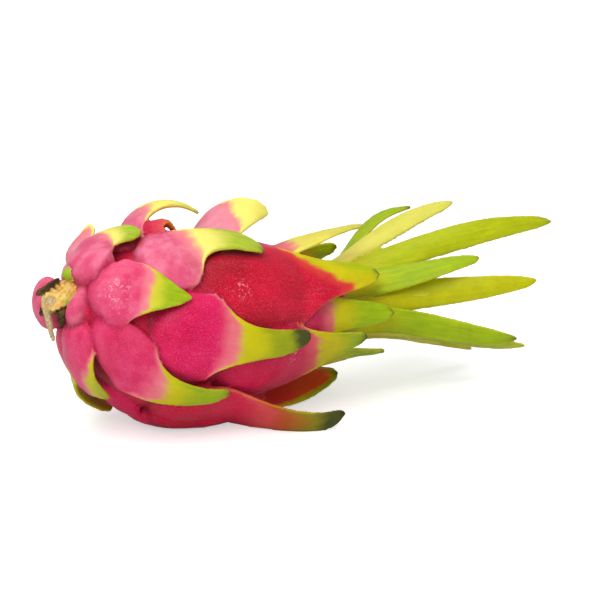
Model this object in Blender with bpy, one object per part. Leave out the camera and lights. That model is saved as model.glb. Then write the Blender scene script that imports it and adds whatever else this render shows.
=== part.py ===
"""Dragon fruit, whole, lying on its side: peel with its grown-on scales and crown bracts,
the cut stem stub and the dried flower left in the crown's cup.

Metres in the finished objects; the dimensions below are millimetres.
X runs along the fruit from the stem end (-) to the crown (+), -Y is the side turned
to the viewer, Z is up.  z = 0 is the surface that the fruit lies on.
"""
import math

import bmesh
import bpy
import numpy as np
from mathutils import Vector
from mathutils.bvhtree import BVHTree

# ------------------------------------------------------------------ driving dimensions, mm
MM = 0.001
STEM_HALF = 53.0        # widest section to the stem pole
BODY_R = 38.5           # peel radius at the widest section, under the scales
BLUNT = 0.78            # how blunt the stem end is (1 = ellipse, less = fuller shoulder)
NECK_U = 86.0           # widest section to the crown's rim
NECK_R = 14.0           # radius of the neck under the crown
TAPER = 1.6             # how soon the body narrows towards the neck
STEM_LIFT = 15.0        # the stem end bends up by this much
CUP_DEPTH = 27.0        # hollow inside the crown
CUP_R = 9.6             # its radius at the rim
FLOOR = -43.0           # height of the resting surface below the body's axis
MARGIN = 1.3            # how far a cushion's edge stands above the peel
EVEN = 3.2              # length over which a scale's rows turn evenly
BELLY_C = (4.0, -1.0, -34.5)   # swell of the belly, pressed flat where the fruit lies
BELLY_R = (33.0, 23.0, 10.2)
COLLAR_R = 4.3          # thickness of the swollen collar round the stem
LOBE_R = (6.9, 9.0, 11.8)   # half sizes of the lobe beyond it
BUD_C = (-51.4, -2.6, 30.2)      # small green bud at the top of the collar
BUD_R = (5.2, 3.2, 3.2)
STUB_GAP = 0.85         # clearance between the peel and the other two pieces
VOXEL = 0.85            # grain at which the outgrowths are fused to the peel
FACES = 7800            # triangles kept on the fused peel
STUB_VOXEL = 0.42       # the same for the two dried pieces
STUB_FACES = 1300
FLOWER_FACES = 2200
STRIPS = 11             # papery strips of the dried flower

NB, NF, NT = 14, 30, 21     # rows on a scale's cushion, rows on its flap, columns across


# ------------------------------------------------------------------ the peel's surface
def smooth(x):
    x = np.clip(x, 0.0, 1.0)
    return x * x * (3 - 2 * x)


def profile():
    al = np.linspace(0, math.pi / 2, 220)
    u1 = -STEM_HALF * np.cos(al)
    r1 = BODY_R * np.sin(al) ** BLUNT
    u2 = np.linspace(0, NECK_U, 320)[1:]
    g = np.clip(1 - (u2 / 84.0) ** 2, 0, 1) ** TAPER
    r2 = NECK_R - 1.6 * (u2 / NECK_U) ** 2 + (BODY_R - NECK_R) * g
    u = np.concatenate([u1, u2])
    r = np.concatenate([r1, r2])
    v = np.concatenate([[0], np.cumsum(np.hypot(np.diff(u), np.diff(r)))])
    du, dr = np.gradient(u, v), np.gradient(r, v)
    n = np.hypot(du, dr)
    return v, u, r, -dr / n, du / n


V, U, R, NU, NR = profile()
V_MAX = V[-1]


def axis_z(u):
    return STEM_LIFT * np.clip(-u / STEM_HALF, 0, 2) ** 2.3


def surf(v, phi, h=0.0):
    """Point h outside the peel at arc v from the stem pole, azimuth phi (0 = -Y, 90 degrees = up)."""
    v, phi, h = np.broadcast_arrays(np.asarray(v, float), np.asarray(phi, float), np.asarray(h, float))
    u, r = np.interp(v, V, U), np.interp(v, V, R)
    nu, nr = np.interp(v, V, NU), np.interp(v, V, NR)
    e = np.stack([np.zeros_like(phi), -np.cos(phi), np.sin(phi)], -1)
    p = e * (r + h * nr)[..., None]
    p[..., 0] += u + h * nu + np.maximum(v - V_MAX, 0)
    p[..., 2] += axis_z(u)
    return p


def normal(v, phi):
    nu, nr = np.interp(v, V, NU), np.interp(v, V, NR)
    return np.stack([nu + 0 * phi, -np.cos(phi) * nr, np.sin(phi) * nr], -1)


def unit(a):
    return a / np.maximum(np.linalg.norm(a, axis=-1, keepdims=True), 1e-9)


def knots(y, ys, vs):
    """Smooth monotone interpolation through a few knots."""
    ys, vs = np.asarray(ys, float), np.asarray(vs, float)
    d = np.diff(vs) / np.diff(ys)
    m = np.zeros_like(vs)
    s = np.where(d[:-1] + d[1:] == 0, 1, d[:-1] + d[1:])
    m[1:-1] = np.where(d[:-1] * d[1:] > 0, 2 * d[:-1] * d[1:] / s, 0)
    m[0], m[-1] = d[0], d[-1]
    i = np.clip(np.searchsorted(ys, y, side="right") - 1, 0, len(ys) - 2)
    w = ys[i + 1] - ys[i]
    t = np.clip((y - ys[i]) / w, 0, 1)
    return ((2 * t**3 - 3 * t**2 + 1) * vs[i] + (t**3 - 2 * t**2 + t) * w * m[i]
            + (-2 * t**3 + 3 * t**2) * vs[i + 1] + (t**3 - t**2) * w * m[i + 1])


def frames(path, n0):
    """Tangent, normal and side vectors along a path, twisting as little as they can."""
    t = unit(np.gradient(path, axis=0))
    n = np.empty_like(t)
    n[0] = unit(n0 - (n0 @ t[0]) * t[0])
    for i in range(1, len(t)):
        v1 = path[i] - path[i - 1]
        c1 = v1 @ v1
        r = n[i - 1] - (2 / c1) * (v1 @ n[i - 1]) * v1
        tl = t[i - 1] - (2 / c1) * (v1 @ t[i - 1]) * v1
        v2 = t[i] - tl
        c2 = v2 @ v2
        n[i] = r - (2 / c2) * (v2 @ r) * v2 if c2 > 1e-12 else r
        n[i] = unit(n[i] - (n[i] @ t[i]) * t[i])
    return t, n, np.cross(n, t)


def bezier(p0, p1, p2, p3, y):
    y = y[:, None]
    return (1 - y) ** 3 * p0 + 3 * (1 - y) ** 2 * y * p1 + 3 * (1 - y) * y**2 * p2 + y**3 * p3


def flap_width(y, c, p, q):
    """Half width along a flap, 1 at its root, 0 at its point: a spreading root plus a tongue."""
    return (1 - c) * (1 - y) ** p + c * np.sqrt(np.clip(1 - y**q, 0, 1))


# ------------------------------------------------------------------ the scales
# base, lift = (arc mm, azimuth degrees) of the cushion's start and of the flap's root
# tip = (arc, azimuth, height above the peel), w = half width, h = cushion height
# end = (rise, sideways) of the flap at its point, rise/side0 = the same at its root
def scale(name, base, lift, w, h, tip, end=(5, 0), rise=8, shape=(.42, 2.6, 5), th=4.2, **k):
    return dict(name=name, base=base, lift=lift, w=w, h=h, tip=tip, end=end, rise=rise, shape=shape, th=th, **k)


SCALES = [
    # ring nearest the stem
    scale("s1", (11, 124), (27, 121.5), 12.0, 3.7, (45, 120, 15), end=(45, 0), rise=26, shape=(.45, 1.4, 2.4), twist=-42),
    scale("s2", (12, 63), (32.5, 87), 12.4, 7.2, (56, 90, 7.4), end=(-12, 0), rise=5, shape=(.78, 1.4, 2.2), edges=(6.4, 3.4), twist=-22, nose=.3,
          cup0=.03, cup=.02, trough=.2),
    scale("s3", (18.5, 36), (37, 39), 15, 5.4, (62.8, 31.5, 6.5), end=(-6, -4), rise=3, side0=-6, shape=(.18, 1.0, 1.8),
          edges=(3.4, -.8), start=.8, nose=.55, trough=1.5),
    scale("s6", (15, -5), (38, -21.5), 14.8, 5.2, (77, -26.2, 6.8), end=(-4, 4), rise=6, side0=5, shape=(.41, 3.8, 3.5), edges=(-1.2, 3.6)),
    scale("s4", (4, -40), (16, -59), 14.5, 8.0, (34, -65.5, 6.0), end=(-20, 12), rise=0, shape=(.70, 1.3, 2.2), edges=(3.0, 7.4), nose=.6, trough=0),
    scale("s5", (12, -140), (26, -124), 16.0, 8.0, (47, -109, 10), end=(-15, 15), rise=12, shape=(.65, 1.5, 2.2)),
    scale("s20", (14, 200), (36, 192), 18, 4.2, (62, 184, 11), end=(10, 0), rise=12, shape=(.45, 2, 3)),
    scale("s29", (11, 192), (22, 186), 13, 6.5, (36, 176, 13), end=(0, 0), rise=4, shape=(.5, 1.6, 3)),
    # second ring
    scale("s9", (28, 117.5), (51.3, 114.5), 18, 4.6, (86, 104, 11), end=(-35, 0), rise=40, side0=6, shape=(.11, 2.0, 4), k=(.5, .45), twist=-30),
    scale("s8", (45, 74), (65.8, 69.5), 22.6, 5.4, (102, 60, 7), end=(-8, -28), rise=5, side0=23, shape=(.375, 6.0, 3.0), edges=(3.4, 1.3),
          cup0=.024, cup=.008, wave=0),
    scale("s7", (41, 9), (69, 8), 19.4, 5.0, (113, 2, 11), end=(-3, 8), rise=6, side0=-14, shape=(.34, 4.6, 3.5), edges=(1.3, 2.4)),
    scale("s14", (46, -66), (78, -50), 20, 5.0, (121, -40, 31), end=(0, 8), rise=14, side0=-4, shape=(.38, 3.2, 3.2), k=(.4, .36), twist=32),
    scale("s18", (22, -100), (46, -101), 19, 5.6, (76, -104, 4.5), end=(0, 0), rise=0, shape=(.5, 2, 3)),
    scale("s21", (44, 158), (68, 154), 19, 4.0, (104, 150, 14), end=(10, 0), rise=14),
    scale("s22", (36, 232), (62, 226), 20, 4.0, (98, 220, 8), end=(0, 0), rise=6),
    # third ring
    scale("s11", (60, 100), (83.5, 97), 21.5, 4.0, (110.8, 90, 16.0), end=(-10, -4), rise=17, shape=(.42, 1.25, 1.7), k=(.42, .4), twist=-52),
    scale("s12", (55, 39), (117, 42), 21, 4.8, (160, 40, 18), end=(8, 0), rise=4, shape=(.36, 3, 3.5), start=.6, nose=.8),
    scale("s16", (68, -24), (113, -20), 18, 4.6, (150, -16, 14), end=(6, 0), rise=4, shape=(.36, 3, 3.5)),
    scale("s15", (70, -98), (96, -94), 18, 4.0, (150, -98, 20), end=(8, 10), rise=8, shape=(.6, 2.0, 3), twist=-32),
    scale("s23", (74, 188), (100, 184), 19, 4.0, (140, 180, 16), end=(5, 0), rise=8),
    scale("s24", (74, 262), (100, 240), 18, 3.6, (138, 236, 12), end=(5, 0), rise=6),
    scale("s10", (53, 107), (69.2, 100.0), 9.5, 10.0, (73.4, 98, 3.4), end=(-70, 0), rise=-30, shape=(.8, 1.6, 2.0), k=(.4, .4)),
    # neck
    scale("s13", (100, 92), (118, 90), 13, 3.0, (160, 84, 26), end=(12, 0), rise=22, shape=(.5, 2.2, 5), th=3.4),
    scale("s25", (104, 8), (126, 8), 12, 3.0, (168, 4, 16), end=(8, 0), rise=8, shape=(.5, 2.2, 5), th=3.4),
    scale("s26", (104, -56), (126, -54), 12, 3.0, (170, -50, 14), end=(8, 0), rise=8, shape=(.5, 2.2, 5), th=3.4),
    scale("s27", (102, 142), (124, 140), 13, 3.0, (166, 138, 20), end=(8, 0), rise=10, shape=(.5, 2.2, 5), th=3.4),
    scale("s28", (104, 214), (126, 212), 13, 3.0, (170, 210, 18), end=(8, 0), rise=10, shape=(.5, 2.2, 5), th=3.4),
]

# crown bracts: (name, azimuth, arc of the flap's root, half width, tip arc, tip azimuth, tip height, its own bends)
CROWN = [
    ("c1", 84, 150, 9.0, 265, 72, 20, dict(rise=27, end=(-2, 0), k=(.36, .4), twist=-52)),
    ("c2", 116, 148, 8.6, 225, 112, 30, dict(rise=40, end=(10, 0), k=(.4, .4), twist=-60)),
    ("c3", 146, 150, 7.6, 213, 136, 37, dict(rise=50, end=(0, 0), k=(.45, .4), twist=-60)),
    ("c4", 48, 147, 7.6, 212, 38, 25, {}), ("c5", 20, 151, 8.2, 236, 16, 30, {}), ("c6", -14, 148, 7.8, 222, -16, 36, {}),
    ("c7", -46, 150, 8.0, 240, -42, 24, {}), ("c8", -80, 148, 7.6, 226, -84, 18, {}), ("c9", -112, 150, 8.0, 234, -116, 22, {}),
    ("c10", 214, 148, 7.8, 220, 216, 32, {}), ("c11", 180, 151, 8.2, 240, 178, 30, {}),
]
PETALS = 9              # short inner bracts that stand around the cup


def crown_scales():
    out = []
    for i, (name, az, root, w, vt, at, ht, own) in enumerate(CROWN):
        bend = dict(end=(10 + 4 * (i % 3), 0), rise=10, shape=(.86, 1.4, 2.4), th=2.9, cup=.03, cup0=.06, wave=.35, trough=.2,
                    free=.5, deep=3.6, step=.2)
        bend.update(own)
        out.append(scale(name, (root - 16, az), (root, az), w, 2.2, (vt, at, ht), **bend))
    for i in range(PETALS):
        az = 98 + 360 / PETALS * i
        out.append(scale("p%d" % i, (150, az), (159, az), 4.6, 1.2, (192 + 7 * (i % 3), az + 6 * math.sin(2.3 * i), 9 + 3 * (i % 2)),
                         end=(4, 0), rise=6, shape=(.8, 1.4, 2.4), th=2.2, cup=.05, cup0=.09, wave=.3, trough=0, free=.5, deep=2.6, step=.2))
    return out


def scale_rows(s):
    """Centre line, frames and half widths of one scale, root to point."""
    v0, f0 = s["base"]
    v1, f1 = s["lift"]
    x = np.linspace(0, 1, NB)
    hb = s["h"]
    h = knots(x, [0, .3, .62, 1], [s.get("start", -2.0), .6 * hb, .92 * hb, hb])
    ph = np.radians(f0 + (f1 - f0) * x)
    base = surf(v0 + (v1 - v0) * x, ph, h)
    p0 = base[-1]
    t0 = unit(base[-1] - base[-3])
    n0 = normal(v1, math.radians(f1))
    vt, ft, ht = s["tip"]
    p3 = surf(vt, math.radians(ft), ht)
    d = np.linalg.norm(p3 - p0)
    up, side = (math.radians(a) for a in s["end"])
    vq = min(vt, V_MAX - 1)
    nt = normal(vq, math.radians(ft))
    at = unit(surf(vq + .5, math.radians(ft)) - surf(vq - .5, math.radians(ft)))
    bt = np.cross(nt, at)
    tt = unit(math.cos(up) * math.cos(side) * at + math.cos(up) * math.sin(side) * bt + math.sin(up) * nt)
    k0, k1 = s.get("k", (.36, .36))
    up0, sd0 = math.radians(s["rise"]), math.radians(s.get("side0", 0))
    t0 = unit(math.cos(sd0) * t0 + math.sin(sd0) * np.cross(n0, t0))
    t0 = unit(math.cos(up0) * t0 + math.sin(up0) * n0)
    y = np.linspace(0, 1, NF + 1)[1:]
    flap = bezier(p0, p0 + t0 * d * k0, p3 - tt * d * k1, p3, y)
    path = np.concatenate([base, flap])
    t, n, b = frames(path, normal(v0, math.radians(f0)))
    nb = normal(v0 + (v1 - v0) * x, ph)
    nb = unit(nb - (nb * t[:NB]).sum(-1, keepdims=True) * t[:NB])
    n = np.concatenate([nb[:-1], frames(path[NB - 1:], nb[-1])[1]])
    b = np.cross(n, t)
    along = np.concatenate([[0], np.cumsum(np.linalg.norm(np.diff(path[NB - 1:], axis=0), axis=1))])
    y = along / along[-1]
    # the rows turn evenly where the flap leaves the cushion in another direction
    arc = np.concatenate([[0], np.cumsum(np.linalg.norm(np.diff(path, axis=0), axis=1))])
    near = np.exp(-((arc[:, None] - arc[None, :]) / EVEN) ** 2)
    b = unit(near @ b)
    n = unit(n - (n * b).sum(-1, keepdims=True) * b)
    tw = np.concatenate([np.zeros(NB - 1), math.radians(s.get("twist", 0)) * y ** .8])[:, None]
    n, b = np.cos(tw) * n + np.sin(tw) * b, np.cos(tw) * b - np.sin(tw) * n
    w = s["w"] * np.concatenate([knots(x, [0, .35, .75, 1], [s.get("nose", .45), .84 * s.get("body", 1), s.get("body", 1), .97])[:-1], flap_width(y, *s["shape"]) * .97])
    return path, n, b, w, np.concatenate([x[:-1] - 1, y])


def scale_sheet(s):
    """Upper and lower grids of a scale, rows x columns x 3."""
    path, n, b, w, yy = scale_rows(s)
    tt = np.linspace(-1, 1, NT)
    tt = np.sign(tt) * (1 - (1 - np.abs(tt)) ** 1.35)
    v0, v1 = s["base"][0], s["lift"][0]
    k_skin = 1.0 / (np.interp(v0 + (v1 - v0) * (1 + np.minimum(yy, 0)), V, R) + s["h"])
    k = np.where(yy <= 0, k_skin, knots(np.clip(yy, 0, 1), [0, .35, 1],
                                        [k_skin[NB - 1], s.get("cup0", k_skin[NB - 1] * .55), s.get("cup", 0.0)]))
    at = np.abs(tt)[None, :]
    lat = tt[None, :] * w[:, None]
    kk = np.maximum(k[:, None], 1e-4)
    ang = np.clip(lat * kk, -1.9, 1.9)
    side, drop = np.sin(ang) / kk, (1 - np.cos(ang)) / kk
    # the cushion's flanks run down into the peel, the flap's margins stand free
    f = s.get("free", .30)
    free = smooth((yy + f) / (f + .05))[:, None]
    y0 = yy[:, None]
    low, high = s.get("edges", (s.get("step", MARGIN),) * 2)
    rim = np.where(tt[None, :] < 0, low, high)
    rim = s.get("step", MARGIN) + (rim - s.get("step", MARGIN)) * smooth((y0 + .95) / .5)
    flank = (1 - free) * (s["h"] - rim) * (.3 * at ** 2 + .7 * at ** 8) + free * .6 * at ** 2
    trough = s.get("trough", .9) * np.exp(-((y0 - .10) / .10) ** 2) * (1 - .5 * at ** 2)
    lip = .5 * smooth((y0 + .1) / .25) * at ** 3
    wav = s.get("wave", .5) * smooth((y0 + .05) / .2) * at ** 2.5 * np.sin(y0 * 7.0 + s["base"][1] + 1.4 * np.sign(tt[None, :]))
    top = (path[:, None, :] + side[..., None] * b[:, None, :]
           + (-drop - flank - trough + lip + wav)[..., None] * n[:, None, :])
    th = knots(np.clip(yy, 0, 1), [0, .25, .75, 1], [s["th"], s["th"] * .8, s["th"] * .55, 1.4])[:, None]
    th = np.maximum(th * (1 - .62 * at ** 2.2), 1.25)
    deep = s.get("deep", s["h"] + 5.0) * (1 - .35 * at ** 2)
    inside = smooth((-y0 - .02) / .16)
    th = np.where(y0 < 0, (1 - inside) * s["th"] * (1 - .5 * at ** 2.2) + inside * deep, th)
    return top, top - th[..., None] * n[:, None, :], yy, tt


def closed_sheet(top, bottom):
    """Vertices and faces of the closed body between two grids."""
    a, c, _ = top.shape
    verts = np.concatenate([top.reshape(-1, 3), bottom.reshape(-1, 3)])
    m = a * c
    faces = []
    for i in range(a - 1):
        for j in range(c - 1):
            p = i * c + j
            faces.append((p, p + c, p + c + 1, p + 1))
            faces.append((m + p, m + p + 1, m + p + c + 1, m + p + c))
    for i in range(a - 1):
        p, q = i * c, i * c + c - 1
        faces.append((p, m + p, m + p + c, p + c))
        faces.append((q, q + c, m + q + c, m + q))
    for j in range(c - 1):
        p, q = j, (a - 1) * c + j
        faces.append((p, p + 1, m + p + 1, m + p))
        faces.append((q, m + q, m + q + 1, q + 1))
    return verts, faces


def lathe(us, rs, count, shift=None):
    """Closed body of revolution about X through (u, r); the first and last radius are 0."""
    verts, faces = [], []
    us, rs = list(us), list(rs)
    verts.append((us[0], 0.0, 0.0))
    for u, r in zip(us[1:-1], rs[1:-1]):
        for j in range(count):
            a = 2 * math.pi * j / count
            verts.append((u, -r * math.cos(a), r * math.sin(a)))
    verts.append((us[-1], 0.0, 0.0))
    n = len(us) - 2
    for j in range(count):
        k = (j + 1) % count
        faces.append((0, 1 + j, 1 + k))
        for i in range(n - 1):
            faces.append((1 + i * count + j, 1 + (i + 1) * count + j, 1 + (i + 1) * count + k, 1 + i * count + k))
        faces.append((1 + (n - 1) * count + j, len(verts) - 1, 1 + (n - 1) * count + k))
    verts = np.array(verts)
    if shift is not None:
        verts[:, 2] += shift(verts[:, 0])
    return verts, faces


# ------------------------------------------------------------------ meshes and solids
def make_mesh(name, verts, faces, scale_by=MM):
    me = bpy.data.meshes.new(name)
    me.from_pydata([tuple(v) for v in np.asarray(verts) * scale_by], [], faces)
    me.validate(clean_customdata=False)
    bm = bmesh.new()
    bm.from_mesh(me)
    bmesh.ops.recalc_face_normals(bm, faces=bm.faces)
    bm.to_mesh(me)
    bm.free()
    return me


def add_object(name, me):
    ob = bpy.data.objects.new(name, me)
    bpy.context.scene.collection.objects.link(ob)
    return ob


def apply_modifiers(ob):
    dg = bpy.context.evaluated_depsgraph_get()
    dg.update()
    me = bpy.data.meshes.new_from_object(ob.evaluated_get(dg))
    old = ob.data
    ob.modifiers.clear()
    ob.data = me
    bpy.data.meshes.remove(old)


def largest_shell(bm):
    """Keep the shell with the largest volume."""
    seen, best, best_vol = set(), None, -1.0
    for f0 in bm.faces:
        if f0.index in seen:
            continue
        stack, shell = [f0], []
        seen.add(f0.index)
        while stack:
            f = stack.pop()
            shell.append(f)
            for e in f.edges:
                for g in e.link_faces:
                    if g.index not in seen:
                        seen.add(g.index)
                        stack.append(g)
        vol = 0.0
        for f in shell:
            c = [v.co for v in f.verts]
            for i in range(1, len(c) - 1):
                vol += c[0].dot(c[i].cross(c[i + 1])) / 6
        if abs(vol) > best_vol:
            best, best_vol = set(shell), abs(vol)
    drop = [f for f in bm.faces if f not in best]
    if drop:
        bmesh.ops.delete(bm, geom=drop, context="FACES")
        loose = [v for v in bm.verts if not v.link_faces]
        bmesh.ops.delete(bm, geom=loose, context="VERTS")


def fuse(name, bodies, voxel, faces, smooth_steps=2):
    """One closed skin around overlapping closed bodies."""
    verts, polys, off = [], [], 0
    for v, f in bodies:
        verts.append(v)
        polys += [tuple(i + off for i in p) for p in f]
        off += len(v)
    ob = add_object(name, make_mesh(name, np.concatenate(verts), polys))
    m = ob.modifiers.new("fuse", "REMESH")
    m.mode = "VOXEL"
    m.voxel_size = voxel * MM
    m.use_smooth_shade = True
    apply_modifiers(ob)
    bm = bmesh.new()
    bm.from_mesh(ob.data)
    largest_shell(bm)
    for _ in range(smooth_steps):
        bmesh.ops.smooth_vert(bm, verts=bm.verts, factor=.5, use_axis_x=True, use_axis_y=True, use_axis_z=True)
    bmesh.ops.triangulate(bm, faces=bm.faces)
    count = len(bm.faces)
    bm.to_mesh(ob.data)
    bm.free()
    if faces and count > faces:
        m = ob.modifiers.new("thin", "DECIMATE")
        m.ratio = faces / count
        m.use_collapse_triangulate = True
        apply_modifiers(ob)
    return ob


def relax_crossings(bm):
    """Ease apart faces that cross each other after the thinning."""
    for _ in range(12):
        bm.faces.ensure_lookup_table()
        tree = BVHTree.FromBMesh(bm)
        touched = set()
        for a, b in tree.overlap(tree):
            if a < b:
                va, vb = set(bm.faces[a].verts), set(bm.faces[b].verts)
                if not va & vb:
                    touched |= va | vb
        if not touched:
            return
        moved = {v: sum((e.other_vert(v).co for e in v.link_edges), Vector()) / len(v.link_edges) for v in touched
                 if abs(v.co.z - FLOOR * MM) > 1e-6}
        for v, c in moved.items():
            v.co = v.co.lerp(c, .5)


def cut_flat(ob, co, no, flat_tol=1e-6):
    """Cut away what lies beyond a plane and close the cut with a flat face."""
    bm = bmesh.new()
    bm.from_mesh(ob.data)
    co, no = Vector(co), Vector(no).normalized()
    near = [v for v in bm.verts if abs((v.co - co).dot(no)) < 0.00012]
    for v in near:
        v.co -= no * (v.co - co).dot(no)
    bmesh.ops.bisect_plane(bm, geom=bm.verts[:] + bm.edges[:] + bm.faces[:], dist=flat_tol,
                           plane_co=co, plane_no=no, clear_outer=True)
    edges = [e for e in bm.edges if e.is_boundary]
    bmesh.ops.holes_fill(bm, edges=edges, sides=0)
    bmesh.ops.triangulate(bm, faces=[f for f in bm.faces if len(f.verts) > 3])
    bmesh.ops.recalc_face_normals(bm, faces=bm.faces)
    bm.to_mesh(ob.data)
    bm.free()


def tube(points, radii, count=14):
    """Closed tube through points, rounded off to its two ends."""
    pts, rad = np.asarray(points, float), np.asarray(radii, float)
    t, n, b = frames(pts, np.array([.31, .17, .93]))
    verts = [tuple(pts[0] - t[0] * rad[0] * .6)]
    for p, r, nn, bb in zip(pts, rad, n, b):
        for j in range(count):
            a = 2 * math.pi * j / count
            verts.append(tuple(p + r * (math.cos(a) * nn + math.sin(a) * bb)))
    verts.append(tuple(pts[-1] + t[-1] * rad[-1] * .6))
    m, faces = len(pts), []
    for j in range(count):
        k = (j + 1) % count
        faces.append((0, 1 + k, 1 + j))
        for i in range(m - 1):
            faces.append((1 + i * count + j, 1 + i * count + k, 1 + (i + 1) * count + k, 1 + (i + 1) * count + j))
        faces.append((1 + (m - 1) * count + j, 1 + (m - 1) * count + k, len(verts) - 1))
    return np.array(verts), faces


def ellipsoid(centre, radii, count=28):
    a = np.linspace(0, math.pi, 16)
    v, f = lathe(-np.cos(a), np.sin(a) * (np.abs(np.sin(a)) > 1e-9), count)
    return v * np.asarray(radii) + np.asarray(centre), f


def body_core():
    """The peel without its outgrowths, with the crown's hollow and the swollen collar round the stem."""
    keep = np.unique(np.concatenate([np.searchsorted(V, np.linspace(0, V_MAX, 74)[:-1]), [len(V) - 1]]))
    us, rs = list(U[keep]), list(R[keep])
    rs[0] = 0.0
    rim = rs[-1]
    for a in np.linspace(0, 1, 5)[1:]:
        us.append(NECK_U + 1.2 * math.sin(math.pi * a))
        rs.append(rim + (CUP_R - rim) * a)
    for a in np.linspace(0, 1, 12)[1:]:
        us.append(NECK_U - CUP_DEPTH * a)
        rs.append(CUP_R * math.sqrt(max(1 - a ** 2.6, 0)) if a < 1 else 0.0)
    return lathe(us, rs, 72, axis_z)


def collar():
    """Swollen ring of peel round the stub with a knob in front and a bud above, and the lobe that bulges past it on the far side."""
    deg = np.linspace(-130, 128, 48)
    a = np.radians(deg)
    knob = np.exp(-((deg + 8) / 26) ** 2)
    waist = np.exp(-((deg - 46) / 30) ** 2)
    ring = np.stack([-49.6 - 1.2 * np.cos(a * 1.3) - 3.6 * knob + 1.2 * waist, -11.6 * np.cos(a), 16.5 + 11.6 * np.sin(a)], -1)
    r = COLLAR_R * (1 + .06 * np.sin(5 * a) + .08 * knob - .30 * waist) * np.sqrt(np.clip(1 - np.linspace(-1, 1, 48) ** 8, .02, 1))
    return [tube(ring, r), ellipsoid((-56.8, 15.8, 13.5), LOBE_R), ellipsoid(BUD_C, BUD_R, 20)]


# ------------------------------------------------------------------ the stub of the stem
STUB_C = np.array([-56.7, -3.2, 21.6])      # middle of the cut face
STUB_LONG = unit(np.array([.88, 0.0, .47]))  # along the oval cut
STUB_OUT = unit(np.array([-.42, -.66, .50]) - np.array([-.42, -.66, .50]) @ STUB_LONG * STUB_LONG)


def stub_block(grow=0.0):
    """The sawn block: oval cut face, narrower root sunk in the peel."""
    cross = np.cross(STUB_OUT, STUB_LONG)
    rows = []
    for depth, a, b in ((1.9, 9.4, 4.6), (1.5, 10.2, 5.3), (-1.5, 10.2, 5.7), (-5.0, 8.4, 5.6), (-9.0, 7.0, 5.6), (-11.5, 5.4, 4.6)):
        end = 1 if depth > 1.5 else (-1 if depth < -11 else 0)
        rows.append([STUB_C + STUB_OUT * (depth + end * grow) + STUB_LONG * ((a + grow) * math.cos(q) * (1 + .05 * math.sin(3 * q + depth)))
                     + cross * ((b + grow) * math.sin(q)) for q in np.linspace(0, 2 * math.pi, 25)[:-1]])
    rows = np.array(rows)
    m, c, _ = rows.shape
    verts = np.concatenate([rows.reshape(-1, 3), [rows[0].mean(0)], [rows[-1].mean(0)]])
    faces = []
    for j in range(c):
        k = (j + 1) % c
        faces.append((m * c, k, j))
        faces.append((m * c + 1, (m - 1) * c + j, (m - 1) * c + k))
        for i in range(m - 1):
            faces.append((i * c + j, i * c + k, (i + 1) * c + k, (i + 1) * c + j))
    return verts, faces


def stub_parts(grow=0.0):
    """The sawn block with its splinters and the dried spur, all thicker by grow."""
    out = [stub_block(grow)]
    y = np.linspace(0, 1, 14)
    # dried spur: a strip of bark torn off along the far edge, hanging down on the viewer's side
    out.append(tube(bezier(np.array([-64.6, .8, 23.0]), np.array([-64.4, -3.5, 18.5]), np.array([-65.2, -8.0, 11.0]),
                           np.array([-63.4, -8.4, 3.8]), y), 1.15 * (1 - y ** 2) * smooth(y * 2.5) + .7 + grow))
    out.append(tube(bezier(np.array([-58.0, -7.0, 15.5]), np.array([-59.4, -8.6, 13.5]), np.array([-60.4, -9.4, 11.5]),
                           np.array([-60.0, -9.0, 9.0]), y), 1.7 * (1 - y) ** .8 + .6 + grow))
    # dark edge of bark along the top left, its end sticking out
    out.append(tube(bezier(np.array([-66.6, 1.0, 22.2]), np.array([-64.3, .2, 23.4]), np.array([-61.8, .0, 25.0]),
                           np.array([-57.4, .2, 27.4]), y), 1.2 * (1 - .3 * y) * np.clip(y * 6, .35, 1) + .45 + grow))
    for k in range(3):
        p0 = STUB_C - STUB_LONG * 7.0 - STUB_OUT * 2.6 + np.array([0, 2.0 * k + .4, -.6 * k])
        p1 = p0 + np.array([-3.6 + .8 * k, 1.5 + .7 * k, -1.2 - 1.5 * k])
        out.append(tube(bezier(p0, p0 + (p1 - p0) * .3 + np.array([0, 0, .5]), p0 + (p1 - p0) * .7, p1, y), 1.7 * (1 - y) ** .8 + .55 + grow))
    return out


# ------------------------------------------------------------------ the dried flower
def flower_parts():
    """Shrivelled flower: a plug at the bottom of the cup and the papery strips that stand on it."""
    u0 = NECK_U - CUP_DEPTH
    us = [u0 + 2.2, u0 + 2.8, u0 + 5.0, u0 + 7.5, u0 + 9.0, u0 + 9.6]
    rs = [0, 3.6, 5.6, 6.6, 4.5, 0]
    out = [lathe(us, rs, 26)]
    y = np.linspace(0, 1, 22)
    for k in range(STRIPS):
        a = 2 * math.pi * k / STRIPS + .35 * math.sin(5 * k)
        lean = .9 * math.sin(2.1 * k)
        length = 25 + 9 * math.sin(1.7 * k + .5)
        rad = (4.6 if k % 2 else 2.4) + (1.2 + .6 * math.sin(k)) * np.sin(y * math.pi * .8) + .5 * np.sin(9 * y + k)
        ang = a + lean * y ** 1.4
        path = np.stack([u0 + 5.5 + length * y, -rad * np.cos(ang), rad * np.sin(ang)], -1)
        t, n, b = frames(path, np.array([0.0, -math.cos(a), math.sin(a)]))
        tw = .8 * math.sin(1.3 * k) * y
        nn = np.cos(tw)[:, None] * n + np.sin(tw)[:, None] * b
        bb = np.cross(nn, t)
        w = (1.9 + .5 * math.sin(3 * k)) * flap_width(y, .85, 1.0, 4) + .35
        q = np.linspace(-1, 1, 9)
        top = path[:, None, :] + (q[None, :] * w[:, None])[..., None] * bb[:, None, :] - (.10 * (q[None, :] * w[:, None]) ** 2)[..., None] * nn[:, None, :]
        out.append(closed_sheet(top + .55 * nn[:, None, :], top - .55 * nn[:, None, :]))
    return out


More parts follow.
